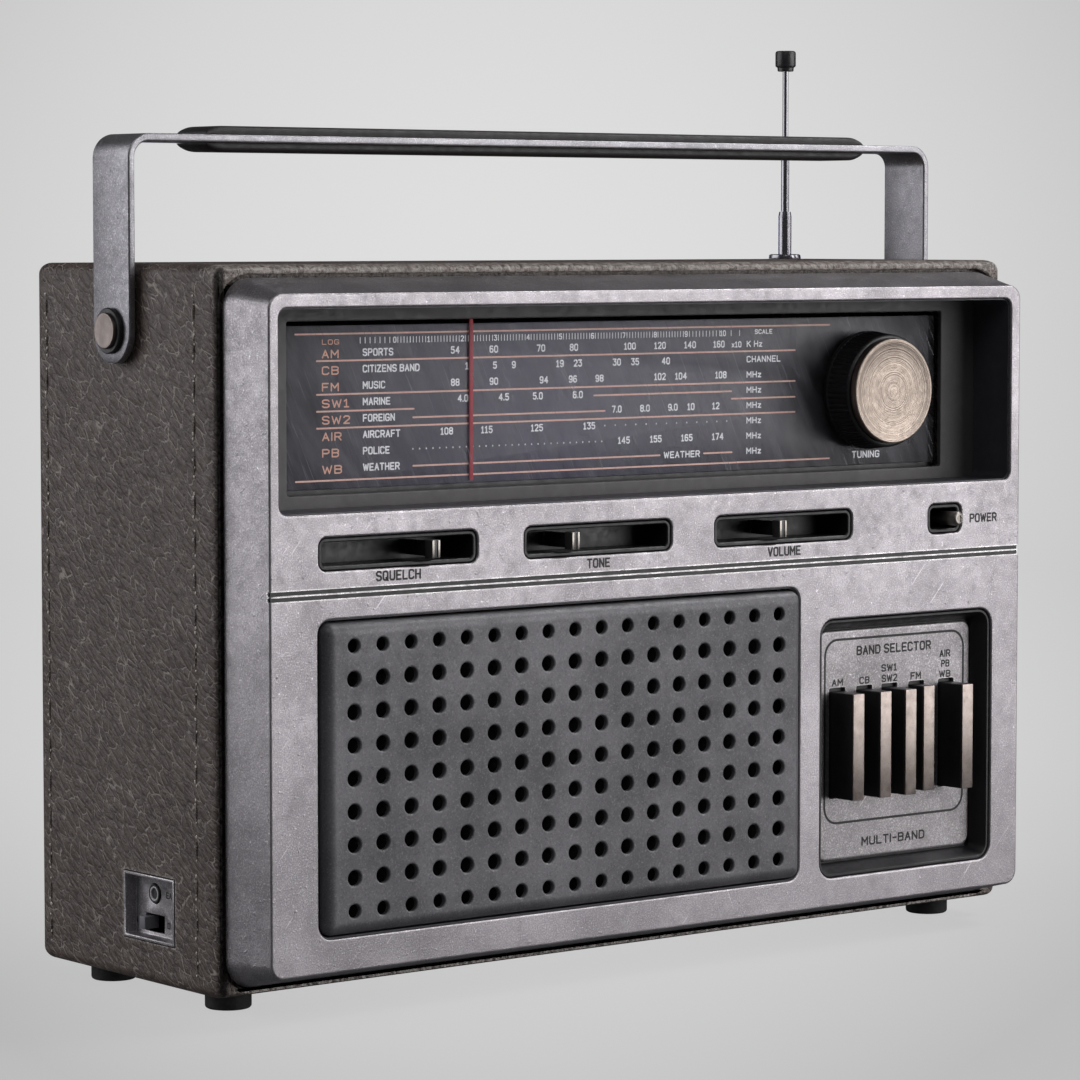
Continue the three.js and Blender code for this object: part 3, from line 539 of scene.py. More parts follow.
def spun_metal(name, place, tint):
    """Champagne metal turned on a lathe: rings about place, with blotches and scuffs."""
    look = Look(name, metallic=1.0)
    dx = look.calc("SUBTRACT", look.axis("X"), place[0])
    dz = look.calc("SUBTRACT", look.axis("Z"), place[1])
    radius = look.calc("SQRT", look.calc("ADD", look.times(dx, dx), look.times(dz, dz)))
    ring = look.tree.nodes.new("ShaderNodeTexNoise")
    ring.noise_dimensions = "1D"
    ring.inputs["Scale"].default_value = 2.6
    ring.inputs["Detail"].default_value = 3
    look.link(radius, ring.inputs["W"])
    rings = ring.outputs["Fac"]
    blotch = look.span(look.noise(5, 6.0, 0.72), 0.38, 0.66)
    base = look.blend(blotch, tint, shade(tint, 0.72))
    base = look.blend(look.span(rings, 0.42, 0.62, 0, 0.55), base, shade(tint, 0.55))
    scuffs = look.span(look.noise(1.1, 4.0, 0.7), 0.6, 0.72, 0, 0.5)
    look.colour(look.blend(scuffs, base, shade(tint, 1.35)))
    look.rough(1.6, 4.0, 0.34, 0.52)
    look.bump(rings, 0.12, 1.0)
    return look.material


def grille_paint():
    """Dark grey sprayed metal with fine light specks, scuffs and paler rims, partly worn and partly painted
    highlight.
    """
    look = Look("grille_paint", metallic=0.25)
    clouds = look.span(look.noise(28, 5.0, 0.62), 0.35, 0.68)
    base = look.blend(clouds, (0.092, 0.089, 0.098), (0.175, 0.17, 0.185))
    specks = look.noise(0.55, 3.0, 0.7)
    base = look.blend(look.span(specks, 0.56, 0.72, 0, 0.55), base, (0.36, 0.36, 0.37))
    base = look.blend(look.span(specks, 0.44, 0.28, 0, 0.6), base, (0.035, 0.035, 0.037))
    scuffs = look.span(look.noise(3, 7.0, 0.75), 0.58, 0.72, 0, 0.4)
    base = look.blend(scuffs, base, (0.18, 0.18, 0.185))
    # Paler rims: partly worn paint, partly painted highlight.
    edge_wear_and_sheen = look.times(look.edges(0.5), look.span(look.noise(4, 5.0), 0.4, 0.6, 0.3, 1))
    look.colour(look.blend(edge_wear_and_sheen, base, (0.3, 0.3, 0.31)))
    look.rough(1.6, 5.0, 0.36, 0.56)
    look.bump(specks, 0.05, 0.7)
    return look.material


def dial_face():
    """Dark printed scale plate: blue-grey in the middle, a painted reflection, streaked and scratched."""
    look = Look("dial_face", roughness=0.4)
    # Painted reflection: a blue-grey sheen across the middle of the plate, as off the window.
    across = look.span(look.axis("X"), -125, 125)
    middle = look.calc("SUBTRACT", 1.0, look.calc("ABSOLUTE", look.calc("SUBTRACT", across, 0.36)))
    base = look.blend(look.span(middle, 0.55, 0.98), (0.07, 0.067, 0.072), (0.1, 0.092, 0.145))
    smear = look.noise(7, 5.0, 0.6, look.stretched(turn=(0, 28, 0), scale=(1.5, 1, 0.35)))
    base = look.blend(look.span(smear, 0.5, 0.7, 0, 0.6), base, (0.16, 0.155, 0.175))
    base = look.blend(look.span(smear, 0.48, 0.3, 0, 0.6), base, (0.02, 0.019, 0.022))
    hair = look.noise(1.0, 1.0, 0.5, look.stretched(turn=(0, 24, 0), scale=(3.2, 1, 0.05)))
    look.colour(look.blend(look.span(hair, 0.68, 0.72, 0, 0.5), base, (0.28, 0.28, 0.3)))
    look.set(Roughness=look.span(smear, 0.3, 0.7, 0.3, 0.5))
    look.bump(look.noise(0.6, 2.0), 0.01, 0.5)
    return look.material


def ink(name, tint, glow=0.0):
    """Printed ink, thin in places. The dial's inks glow a little: painted light that brightens them."""
    look = Look(name, roughness=0.55)
    thin = look.span(look.noise(0.8, 4.0, 0.7), 0.5, 0.75, 0, 0.4)
    look.colour(look.blend(thin, tint, shade(tint, 0.45)))
    look.bump(look.noise(0.3, 2.0), 0.01, 0.4)
    look.set(Emission_Color=tint, Emission_Strength=glow)
    return look.material


def clear_window():
    """Clear plastic: what lies behind shows through, under faint reflections, film and scratches."""
    look = Look("clear_window", roughness=0.35)
    film = look.noise(9, 6.0, 0.68, look.stretched(turn=(0, 32, 0), scale=(1.5, 1, 0.4)))
    hair = look.noise(1.0, 1.0, 0.5, look.stretched(turn=(0, 27, 0), scale=(2.6, 1, 0.05)))
    patch = look.span(look.noise(17, 2.0), 0.5, 0.6)
    scratch = look.times(look.span(hair, 0.67, 0.71, 0, 0.35), patch)
    haze = look.calc("MAXIMUM", look.span(film, 0.42, 0.75, 0.008, 0.1), scratch)
    look.colour((0.36, 0.36, 0.4))
    through = look.tree.nodes.new("ShaderNodeBsdfTransparent")
    through.inputs["Color"].default_value = (0.97, 0.97, 0.98, 1)
    mix = look.tree.nodes.new("ShaderNodeMixShader")
    for socket, source in zip(mix.inputs, (haze, through.outputs[0], look.shader.outputs[0])):
        look.link(source, socket)
    look.link(mix.outputs[0], look.tree.nodes["Material Output"].inputs["Surface"])
    return look.material


def rubber():
    """Dusty black rubber."""
    look = Look("rubber", roughness=0.75)
    dust = look.span(look.noise(3, 5.0, 0.7), 0.45, 0.7, 0, 0.6)
    look.colour(look.blend(dust, (0.014, 0.014, 0.015), (0.05, 0.048, 0.046)))
    look.bump(look.noise(0.5, 3.0), 0.06, 0.8)
    return look.material


def thread():
    """Dark twisted thread with paler strands."""
    look = Look("stitch_thread", roughness=0.7)
    twist = look.noise(0.5, 2.0, 0.5, look.stretched(turn=(35, 0, 0), scale=(1, 3, 1)))
    look.colour(look.blend(look.span(twist, 0.4, 0.65), (0.02, 0.016, 0.014), (0.3, 0.26, 0.23)))
    look.bump(twist, 0.15, 0.9)
    return look.material


def woven(name, tint):
    """Fine dark speaker cloth."""
    look = Look(name, roughness=0.9)
    warp, weft = [look.calc("SINE", look.times(look.axis(letter), 9.0)) for letter in "XZ"]
    weave = look.span(look.times(warp, weft), -1, 1)
    look.colour(look.blend(weave, tint, shade(tint, 2.2)))
    look.bump(weave, 0.2, 0.8)
    return look.material


LEATHER = leatherette()
SILVER = silver("silver_paint", (0.44, 0.415, 0.44), 0.35, 1.0)
SELECTOR_SILVER = silver("selector_silver", (0.38, 0.36, 0.375), 0.4, 0.7)
STRAP_METAL = silver("strap_metal", (0.35, 0.34, 0.365), 0.34, 0.9)
BLACK = moulded("black_plastic", (0.014, 0.0135, 0.016), 0.4, 0.3)
LINING = moulded("well_lining", (0.06, 0.058, 0.07), 0.45, 0.3)
SATIN_BLACK = moulded("satin_black", (0.026, 0.025, 0.028), 0.32, 0.5)
LEVER_GREY = moulded("lever_grey", (0.075, 0.072, 0.075), 0.32, 0.6)
GRIP_BLACK = moulded("grip_rubber", (0.02, 0.017, 0.018), 0.55, 0.25, 0.1)
FRAME_GREY = moulded("frame_grey", (0.095, 0.09, 0.093), 0.5, 0.35, 0.08)
REAR_BLACK = moulded("rear_black", (0.02, 0.02, 0.021), 0.55, 0.4, 0.08)
CHAMPAGNE = metal("champagne_metal", (0.37, 0.315, 0.29), 0.36, "z", 0.16)
KNOB_METAL = spun_metal("knob_spun_metal", KNOB_SPOT, (0.48, 0.4, 0.345))
PIVOT_METAL = metal("pivot_metal", (0.25, 0.215, 0.2), 0.36, None, 0.12)
CHROME = metal("chrome", (0.36, 0.35, 0.38), 0.22, None, 0.1)
# The jack's ring is not a mirror but pale grey, a painted reflection, so that it stays pale inside its dark
# recess.
JACK_CHROME = moulded("jack_chrome", (0.55, 0.54, 0.56), 0.3, 0.4)
TIP_METAL = metal("lever_metal", (0.4, 0.37, 0.34), 0.34, "z", 0.12)
MARK_GREY = moulded("switch_grey", (0.17, 0.165, 0.185), 0.45, 0.6)
STEEL = metal("steel", (0.45, 0.44, 0.44), 0.36, "x", 0.12)
GRILLE_LOOK = grille_paint()
DIAL_LOOK = dial_face()
WINDOW_LOOK = clear_window()
RUBBER = rubber()
THREAD = thread()
# Pale beads at the stitch ends: painted highlights.
KNOT_HIGHLIGHT = moulded("stitch_knot_highlight", (0.6, 0.54, 0.48), 0.25, 0.5, 0.02)
CLOTH = woven("speaker_cloth", (0.006, 0.006, 0.006))
CONE = moulded("paper_cone", (0.03, 0.027, 0.025), 0.8, 0.1, 0.15)
FERRITE = moulded("ferrite", (0.03, 0.028, 0.028), 0.6, 0.3, 0.1)
BOARD = moulded("circuit_board", (0.16, 0.075, 0.025), 0.5, 0.2)
RED = ink("pointer_red", (0.6, 0.06, 0.085))
# The dial's inks carry painted light: a faint glow.
INK_WHITE = ink("ink_white", (0.95, 0.95, 0.97), 0.2)
INK_ORANGE = ink("ink_orange", (0.92, 0.52, 0.38), 0.12)
INK_PINK = ink("ink_pink", (0.96, 0.6, 0.5), 0.12)
INK_BLACK = ink("ink_black", (0.012, 0.012, 0.013))


# ---- cabinet ----

def cabinet():
    """Leather-covered case: tight rounded edges and a soft lip that dives in front of the bezel."""
    bm = bmesh.new()
    front, back = CASE_LOW.y, CASE_HIGH.y
    profile = rounding(1.8, front, 8, 0.05, depth=5.5)
    profile += [(offset, back - depth) for offset, depth in reversed(rounding(2.6, 0, 8, depth=4.5))]
    profile += [(WALL, back), (WALL, BEZEL_BACK + 4)]
    rings = sweep(bm, (CASE_MIDDLE.x, CASE_MIDDLE.z), (CASE_SIZE.x, CASE_SIZE.z, 3.4), profile)
    seam = 1.0
    lip = (BASE_WIDTH + 2 * seam, BASE_HEIGHT + 2 * seam, BASE_CORNER + seam)
    inner = sweep(bm, FACE_SPOT, lip, [*rounding(0.7, front, 5, 0.1), (0, front + 3)], grow=1)
    cover(bm, rings[0], rings[-1], [inner])
    case = piece("cabinet_leather", bm, "cabinet", LEATHER, ("cabinet_shell",))

    def jack_hole(bm):
        slack = Vector((4, 0.3, 0.3))
        block(bm, low("jack_panel") - slack, high("jack_panel") + slack + Vector((WALL * 2, 0, 0)))

    def antenna_hole(bm):
        place = centre("antenna_base")
        ends = lathe(bm, (place.x, place.y, CASE_HIGH.z), [(4.2, -2 * WALL), (4.2, WALL)], "z", 24)
        cover(bm, *ends)

    carve(case, [jack_hole, antenna_hole])


def liner(name, place, outline, front, back, thickness=0.3):
    """Dark lining just inside an opening of the silver front."""
    bm = bmesh.new()
    inset = (outline[0] - 0.04, outline[1] - 0.04, outline[2])
    profile = [(0, back), (0, front), (thickness, front), (thickness, back)]
    sweep(bm, place, inset, profile, ends="looped")
    piece(name, bm, "cabinet", LINING)


def stitch(bm, start, end, out, width=0.9):
    """One stitch: a thread that dives into the leather at both ends."""
    along = end - start
    across = along.cross(out).normalized()
    rings = []
    steps, sides = 8, 8
    for k in range(steps + 1):
        share = k / steps
        swell = math.sin(math.pi * share)
        middle = start + along * share + out * (0.28 * swell - 0.12)
        reach = width / 2 * (0.55 + 0.45 * swell)
        circle = arc((0, 0), reach, 0, 4, sides)[:-1]
        rings.append([bm.verts.new(middle + across * x + out * y * 0.7) for x, y in circle])
    join(bm, rings, "closed")


def knot(bm, place, radius):
    """A small shiny bead where the thread comes through the leather; its pale colour is a painted highlight.
    """
    made = bmesh.ops.create_icosphere(bm, subdivisions=2, radius=radius)
    flatten = Matrix.Translation(place) @ Matrix.Diagonal((0.55, 1, 1.3, 1))
    bmesh.ops.transform(bm, matrix=flatten, verts=made["verts"])


def stitching():
    """Two rows of stitches down each side, near the front and the rear edge."""
    bm = bmesh.new()
    beads = bmesh.new()
    rows = (CASE_LOW.y + 10.1, CASE_HIGH.y - 6.5)
    pitch, length = 10.8, 7.2
    count = int((CASE_SIZE.z - 8) / pitch)
    for side in (-1, 1):
        x = CASE_MIDDLE.x + side * CASE_SIZE.x / 2
        out = Vector((side, 0, 0))
        for y in rows:
            for k in range(count):
                z = CASE_LOW.z + 6 + k * pitch
                lean = random.uniform(-0.12, 0.12)
                start = Vector((x, y - lean, z))
                end = Vector((x, y + lean, z + length * random.uniform(0.9, 1.05)))
                stitch(bm, start, end, out)
                for share in (0, random.uniform(0.2, 0.45), random.uniform(0.55, 0.8), 1):
                    shift = Vector((0, random.uniform(-0.5, 0.5), random.uniform(-0.4, 0.4)))
                    knot(beads, start.lerp(end, share) + shift + out * 0.14, random.uniform(0.26, 0.46))
    piece("stitch_knots", beads, "cabinet", KNOT_HIGHLIGHT, smooth=60)
    piece("stitching", bm, "cabinet", THREAD)


def feet():
    for node in ("foot_front_left", "foot_front_right", "foot_rear_left", "foot_rear_right"):
        bm = bmesh.new()
        radius, tall = size(node).x / 2, size(node).z
        edge = 0.9
        profile = [(0, 0.3), (radius * 0.55, 0.3), (radius * 0.6, 0)]
        profile += arc((radius - edge, edge), edge, -1, 0, 4)
        profile += [(radius, tall), (0, tall)]
        lathe(bm, (centre(node).x, centre(node).y, low(node).z), profile, "z", 48)
        piece(node + "_rubber", bm, "cabinet", RUBBER, (node,))


# ---- silver front ----

def bezel():
    """One shell: front face with its openings, slanted sides, dial tunnel and hollow back."""
    bm = bmesh.new()
    outer_profile = [
        *rounding(0.7, FACE_Y, 5),
        (-BEZEL_SPREAD + 0.25, BEZEL_BACK - 0.6),
        (-BEZEL_SPREAD, BEZEL_BACK),
        (-BEZEL_SPREAD + 0.3, BEZEL_BACK + 0.4),
        (-BEZEL_SPREAD + 2, BEZEL_BACK + 0.4),
        (3, PLATE_BACK),
    ]
    outer = sweep(bm, FACE_SPOT, (FACE_WIDTH, FACE_HEIGHT, FACE_CORNER), outer_profile)
    hole_profile = [*rounding(0.5, FACE_Y, 4), (0, PLATE_BACK)]
    dial_profile = [*rounding(0.6, FACE_Y, 4), (0, DIAL_BACK), (1.5, DIAL_BACK), (1.5, PLATE_BACK)]
    openings = [(place, SLOT, hole_profile) for place in SLOT_SPOTS]
    openings += [
        (DIAL_SPOT, DIAL_OPENING, dial_profile),
        (POWER_SPOT, POWER, hole_profile),
        (GRILLE_SPOT, SPEAKER_OPENING, hole_profile),
        (TRAY_SPOT, TRAY, hole_profile),
    ]
    holes = [sweep(bm, place, outline, profile, grow=1) for place, outline, profile in openings]
    cover(bm, outer[0], outer[-1], holes)
    shell = piece("bezel_shell", bm, "cabinet", SILVER, ("front_bezel",))

    def grooves(side):
        """One cut groove; the two lie either side of GROOVE_Z."""
        middle, half, reach = GROOVE_Z + side * GROOVE_HALF_GAP, 0.6, FACE_WIDTH / 2 + 5
        near, far = (-reach, FACE_Y - 2, middle - half), (reach, FACE_Y + 1.1, middle + half)
        return lambda bm: block(bm, near, far)

    carve(shell, [grooves(-1), grooves(1)])
    liner("dial_surround", DIAL_SPOT, DIAL_OPENING, FACE_Y + 1.1, DIAL_BACK - 0.1)
    liner("speaker_surround", GRILLE_SPOT, SPEAKER_OPENING, FACE_Y + 1.0, PLATE_BACK + 0.6)
    # Black bars inside the two grooves: painted shade.
    bm = bmesh.new()
    half = FACE_WIDTH / 2 - 0.6
    for side in (-1, 1):
        z = GROOVE_Z + side * GROOVE_HALF_GAP
        block(bm, (-half, FACE_Y + 0.5, z - 0.55), (half, FACE_Y + 1.08, z + 0.55))
    piece("groove_shade", bm, "cabinet", BLACK)


def dial():
    """Grey frame with a stepped lip, the printed plate and a clear window in front."""
    bm = bmesh.new()
    front, back = low("dial_frame").y, high("dial_frame").y
    opening = (size("dial_window").x + 3.6, size("dial_window").z + 2.7, 0.8)
    outline = (size("dial_frame").x, size("dial_frame").z, 2)
    outer = sweep(bm, spot("dial_frame"), outline, [*rounding(0.2, front, 2), (0, back)])
    inner = sweep(bm, DIAL_SPOT, opening, [*rounding(0.35, front, 3), (0, back)], grow=1)
    cover(bm, outer[0], outer[-1], [inner])
    piece("dial_frame_moulding", bm, "cabinet", FRAME_GREY, ("dial_frame",))
    bm = bmesh.new()
    lo, hi = box("dial_window")
    block(bm, (lo.x - 1.5, hi.y + 1.1, lo.z - 4.7), (hi.x + 1.5, hi.y + 2.4, lo.z - 0.1))
    piece("dial_gasket", bm, "cabinet", BLACK)
    refined("dial_scale", "cabinet", DIAL_LOOK, 0.15, 2, "dial_scale_plate")
    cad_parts["dial_window"].data.materials[0] = WINDOW_LOOK
    refined("pointer_rail", "cabinet", STEEL, 0.1, 2, "pointer_rail_rod")
    refined("dial_pointer", "dial_pointer", RED, 0.08, 2, "pointer_needle")


# ---- printing ----

# Plain one-line letters on a grid 4 wide and 6 high: points "x,y", strokes parted by "|".
LETTERS = {
    "A": "0,0 2,6 4,0|0.7,2 3.3,2",
    "B": "0,0 0,6 3,6 4,5.2 4,4 3,3.2 0,3.2|3,3.2 4,2.4 4,0.8 3,0 0,0",
    "C": "4,5 3.2,6 0.8,6 0,5.2 0,0.8 0.8,0 3.2,0 4,1",
    "D": "0,0 0,6 2.8,6 4,4.8 4,1.2 2.8,0 0,0",
    "E": "3.8,6 0,6 0,0 3.8,0|0,3 3.2,3",
    "F": "3.8,6 0,6 0,0|0,3 3.2,3",
    "G": "4,5 3.2,6 0.8,6 0,5.2 0,0.8 0.8,0 3.2,0 4,0.8 4,2.8 2.2,2.8",
    "H": "0,0 0,6|4,0 4,6|0,3 4,3",
    "I": "0,0 0,6",
    "K": "0,0 0,6|4,6 0,2.6|1.4,3.8 4,0",
    "L": "0,6 0,0 3.6,0",
    "M": "0,0 0,6 2.3,2.2 4.6,6 4.6,0",
    "N": "0,0 0,6 4,0 4,6",
    "O": "0.9,0 3.1,0 4,0.9 4,5.1 3.1,6 0.9,6 0,5.1 0,0.9 0.9,0",
    "P": "0,0 0,6 3,6 4,5.2 4,3.6 3,2.8 0,2.8",
    "Q": "0.9,0 3.1,0 4,0.9 4,5.1 3.1,6 0.9,6 0,5.1 0,0.9 0.9,0|2.6,1.6 4.2,-0.3",
    "R": "0,0 0,6 3,6 4,5.2 4,3.6 3,2.8 0,2.8|2.2,2.8 4,0",
    "S": "4,5.1 3.1,6 0.9,6 0,5.2 0,3.9 0.8,3.2 3.2,2.8 4,2.1 4,0.8 3.1,0 0.9,0 0,0.9",
    "T": "0,6 4,6|2,6 2,0",
    "U": "0,6 0,0.9 0.9,0 3.1,0 4,0.9 4,6",
    "V": "0,6 2,0 4,6",
    "W": "0,6 1.3,0 2.7,5 4.1,0 5.4,6",
    "Z": "0,6 4,6 0,0 4,0",
    "x": "0,0 3,4|0,4 3,0",
    "z": "0,4 3,4 0,0 3,0",
    "-": "0.2,3 2.8,3",
    ".": "0,0 0,0.4",
    "0": "0.9,0 2.7,0 3.6,0.9 3.6,5.1 2.7,6 0.9,6 0,5.1 0,0.9 0.9,0",
    "1": "0,4.8 1.3,6 1.3,0|0,0 2.6,0",
    "2": "0,5 0.9,6 2.7,6 3.6,5.1 3.6,3.8 0,0 3.6,0",
    "3": "0,6 3.6,6 1.7,3.6 2.7,3.6 3.6,2.8 3.6,0.9 2.7,0 0.9,0 0,0.9",
    "4": "2.9,0 2.9,6 0,1.8 3.9,1.8",
    "5": "3.4,6 0.3,6 0.1,3.4 2.7,3.6 3.6,2.8 3.6,0.9 2.7,0 0.9,0 0,0.8",
    "6": "3.3,5.4 2.7,6 0.9,6 0,5.1 0,0.9 0.9,0 2.7,0 3.6,0.9 3.6,2.5 2.7,3.4 0,3.4",
    "7": "0,6 3.6,6 1.4,0",
    "8": "0.9,3.2 0,4 0,5.2 0.9,6 2.7,6 3.6,5.2 3.6,4 2.7,3.2 "
         "0.9,3.2 0,2.3 0,0.9 0.9,0 2.7,0 3.6,0.9 3.6,2.3 2.7,3.2",
    "9": "0.3,0.6 0.9,0 2.7,0 3.6,0.9 3.6,5.1 2.7,6 0.9,6 0,5.1 0,3.5 0.9,2.6 3.6,2.6",
}
LETTER_GAP = 2.1
SPACE = 2.6
CAPITAL = 6


class Printing:
    """Lettering and lines gathered into one thin raised print on a plane that faces forwards."""

    def __init__(self, y):
        self.strokes = []
        self.y = y

    def line(self, x0, x1, z, width=0.5):
        self.strokes.append(([(x0, z), (x1, z)], width))

    def tick(self, x, z, height=1.6, width=0.26):
        self.strokes.append(([(x, z - height / 2), (x, z + height / 2)], width))

    def text(self, words, x, z, height, width=None, align="CENTER", weight=0.19):
        """Words centred on z. width sets the whole length, weight the stroke as a share of the height."""
        pen, drawn = 0.0, []
        for letter in words:
            if letter == " ":
                pen += SPACE
                continue
            strokes = [[tuple(map(float, point.split(","))) for point in part.split()]
                       for part in LETTERS[letter].split("|")]
            drawn.append((pen, strokes))
            pen += max(point[0] for part in strokes for point in part) + LETTER_GAP
        length = pen - LETTER_GAP
        tall = (height * (1 - weight)) / CAPITAL
        wide = (width - height * weight) / length if width else tall
        shift = {"CENTER": length / 2, "LEFT": 0}[align]
        for start, strokes in drawn:
            for part in strokes:
                left = x + (start - shift) * wide
                points = [(left + px * wide, z + (pz - CAPITAL / 2) * tall) for px, pz in part]
                self.strokes.append((points, height * weight))

    def done(self, name, look, slot):
        """Each stroke leg becomes a thin raised bar with round ends; crossing bars differ a hair in height.
        """
        bm = bmesh.new()
        leg_count = 0
        for points, width in self.strokes:
            for (ax, az), (bx, bz) in zip(points, points[1:]):
                heading = math.atan2(bz - az, bx - ax) / QUARTER
                outline = arc((bx, bz), width / 2, heading - 1, heading + 1, 4)
                outline += arc((ax, az), width / 2, heading + 1, heading + 3, 4)
                front = self.y - 0.03 - 0.008 * (leg_count % 4)
                raised = [bm.verts.new((px, front, pz)) for px, pz in outline]
                foot = [bm.verts.new((px, self.y + 0.02, pz)) for px, pz in outline]
                bm.faces.new(raised)
                bridge(bm, raised, foot)
                leg_count += 1
        return piece(name, bm, "cabinet", look, smooth=30)


# The dial's rows from top to bottom: what each band carries and the unit of its figures.
DIAL_ROWS = {
    "LOG": (None, None),
    "AM": ("SPORTS", "K Hz"),
    "CB": ("CITIZENS BAND", "CHANNEL"),
    "FM": ("MUSIC", "MHz"),
    "SW1": ("MARINE", "MHz"),
    "SW2": ("FOREIGN", "MHz"),
    "AIR": ("AIRCRAFT", "MHz"),
    "PB": ("POLICE", "MHz"),
    "WB": ("WEATHER", "MHz"),
}
LOG_ROW = 189.5
FIRST_ROW = 186.1
ROW_PITCH = 4.7
# Where each figure stands along the dial, in millimetres from the dial's middle.
ROW_FIGURES = {
    "AM": {
        "54": -64.7, "60": -50.5, "70": -32.9, "80": -20.4, "100": 1.2, "120": 13.0, "140": 24.9, "160": 36.5,
    },
    "CB": {"1": -60.4, "5": -50.1, "9": -43.1, "19": -25.7, "23": -18.9, "30": -3.9, "35": 3.2, "40": 15.3},
    "FM": {
        "88": -64.7, "90": -50.5, "94": -31.8, "96": -20.8, "98": -10.6,
        "102": 13.0, "104": 21.3, "108": 37.3,
    },
    "SW1": {"4.0": -61.9, "4.5": -46.8, "5.0": -34.1, "6.0": -18.9},
    "SW2": {"7.0": -3.9, "8.0": 7.1, "9.0": 18.1, "10": 25.3, "12": 35.3},
    "AIR": {"108": -67.8, "115": -53.1, "125": -34.4, "135": -14.5},
    "PB": {"145": -1.1, "155": 11.4, "165": 23.7, "174": 36.1},
}
BAND_WIDTHS = {"LOG": 6.0, "SW1": 9.5, "SW2": 9.8, "AIR": 6.8, "WB": 6.9}
UNIT_WIDTHS = {"K Hz": 6.4, "CHANNEL": 13.9, "MHz": 6.0}
BANDS_X, NAMES_X, UNITS_X = -112, -97.7, 47.9


def row_z(band):
    if band == "LOG":
        return LOG_ROW
    return FIRST_ROW - (list(DIAL_ROWS).index(band) - 1) * ROW_PITCH


def dial_print():
    plane = low("dial_scale").y
    white, orange, pink = Printing(plane), Printing(plane), Printing(plane)
    for band, (carries, unit) in DIAL_ROWS.items():
        z = row_z(band)
        height = 1.5 if band == "LOG" else 2.5
        orange.text(band, BANDS_X, z, height, BAND_WIDTHS.get(band, 5.9), "LEFT", 0.17)
        if carries:
            white.text(carries, NAMES_X, z + 0.3, 2.25, None, "LEFT")
        for figure, x in ROW_FIGURES.get(band, {}).items():
            white.text(figure, x, z + 0.4, 2.2)
    for band, (carries, unit) in DIAL_ROWS.items():
        if unit:
            white.text(unit, UNITS_X, row_z(band) + 0.3, 2.0, UNIT_WIDTHS[unit], "LEFT", 0.18)
    white.text("x10", 43.6, row_z("AM") + 0.2, 1.9, 4.0)
    white.text("WEATHER", 21.7, row_z("WB") + 0.1, 2.1, 14.4)
    log_scale(white, LOG_ROW + 0.3)
    for first, last, band, count in ((-8.5, 39.7, "AIR", 13), (-80.1, -9.7, "PB", 30)):
        for k in range(count):
            white.tick(first + (last - first) * k / (count - 1), row_z(band) + 0.3, 0.1, 0.42)
    lines = (
        (-121.4, 82.1, LOG_ROW + 2.3), (-121.4, 82.1, row_z("WB") - 3.1),
        (-114, 67.6, row_z("AM") - 1.95), (-114, 67.6, row_z("FM") - 2.1),
        (-114, -79.7, row_z("SW1") - 2.2), (-80, -8.5, row_z("SW2")),
        (-12.7, 41.6, row_z("SW1")), (41.6, 67.6, row_z("SW1") - 2.3),
        (-114, 67.6, row_z("SW2") - 2.3), (-80, 13.0, row_z("WB") + 0.1),
        (30.5, 41.8, row_z("WB") + 0.1),
    )
    for x0, x1, z in lines:
        pink.line(x0, x1, z)
    white.text("TUNING", KNOB_SPOT[0] + 2.7, 150.9, 2.3, 11.8)
    white.done("dial_print_white", INK_WHITE, "dial_plastic")
    orange.done("dial_print_orange", INK_ORANGE, "dial_plastic")
    pink.done("dial_print_lines", INK_PINK, "dial_plastic")


def log_scale(white, z):
    """The ruler along the top of the dial: figures 0 to 10 with ticks between and before them."""
    marks = [-86.5 + 12.2 * k for k in range(10)] + [38.1]
    for k, x in enumerate(marks):
        white.text(str(k), x, z, 1.8)
    spaces = 11
    for before, after in zip(marks, marks[1:]):
        for step in range(1, spaces):
            white.tick(before + (after - before) * step / spaces, z)
    for k in range(1, 8):
        white.tick(marks[0] - k * 1.75, z)
    for x in (41.4, 44.8):
        white.tick(x, z)
    white.text("SCALE", 54.6, z + 0.3, 1.5, 7.2, weight=0.2)


def face_print():
    """Black lettering; each word has the x and z of its middle, its length and its height."""
    words_on = {
        ("face_lettering", FACE_Y): {
            "SQUELCH": (-100.7, 124.05, 15.8, 3.0), "TONE": (-27.8, 123.9, 8.8, 2.9),
            "VOLUME": (45.0, 123.95, 13.4, 3.0), "POWER": (129.0, 130.7, 11.9, 2.9),
        },
        ("selector_lettering", low("selector_plate").y): {
            "BAND SELECTOR": (96.1, 90.9, 31.8, 3.0),
            "AM": (72.2, 81.5, 4.6, 2.3), "CB": (83.6, 81.5, 4.2, 2.3),
            "SW1": (94.1, 84.8, 6.6, 2.4), "SW2": (94.2, 81.5, 6.6, 2.4), "FM": (105.5, 81.5, 4.5, 2.4),
            "AIR": (118.1, 87.8, 4.7, 2.4), "PB": (118.3, 84.6, 3.6, 2.3), "WB": (118.1, 81.3, 4.9, 2.3),
            "MULTI-BAND": (96.2, 31.0, 27.0, 2.9),
        },
    }
    for (name, plane), rows in words_on.items():
        print_on = Printing(plane)
        for words, (x, z, width, height) in rows.items():
            print_on.text(words, x, z, height, width)
        print_on.done(name, INK_BLACK, "silver_paint")


# ---- slide controls ----

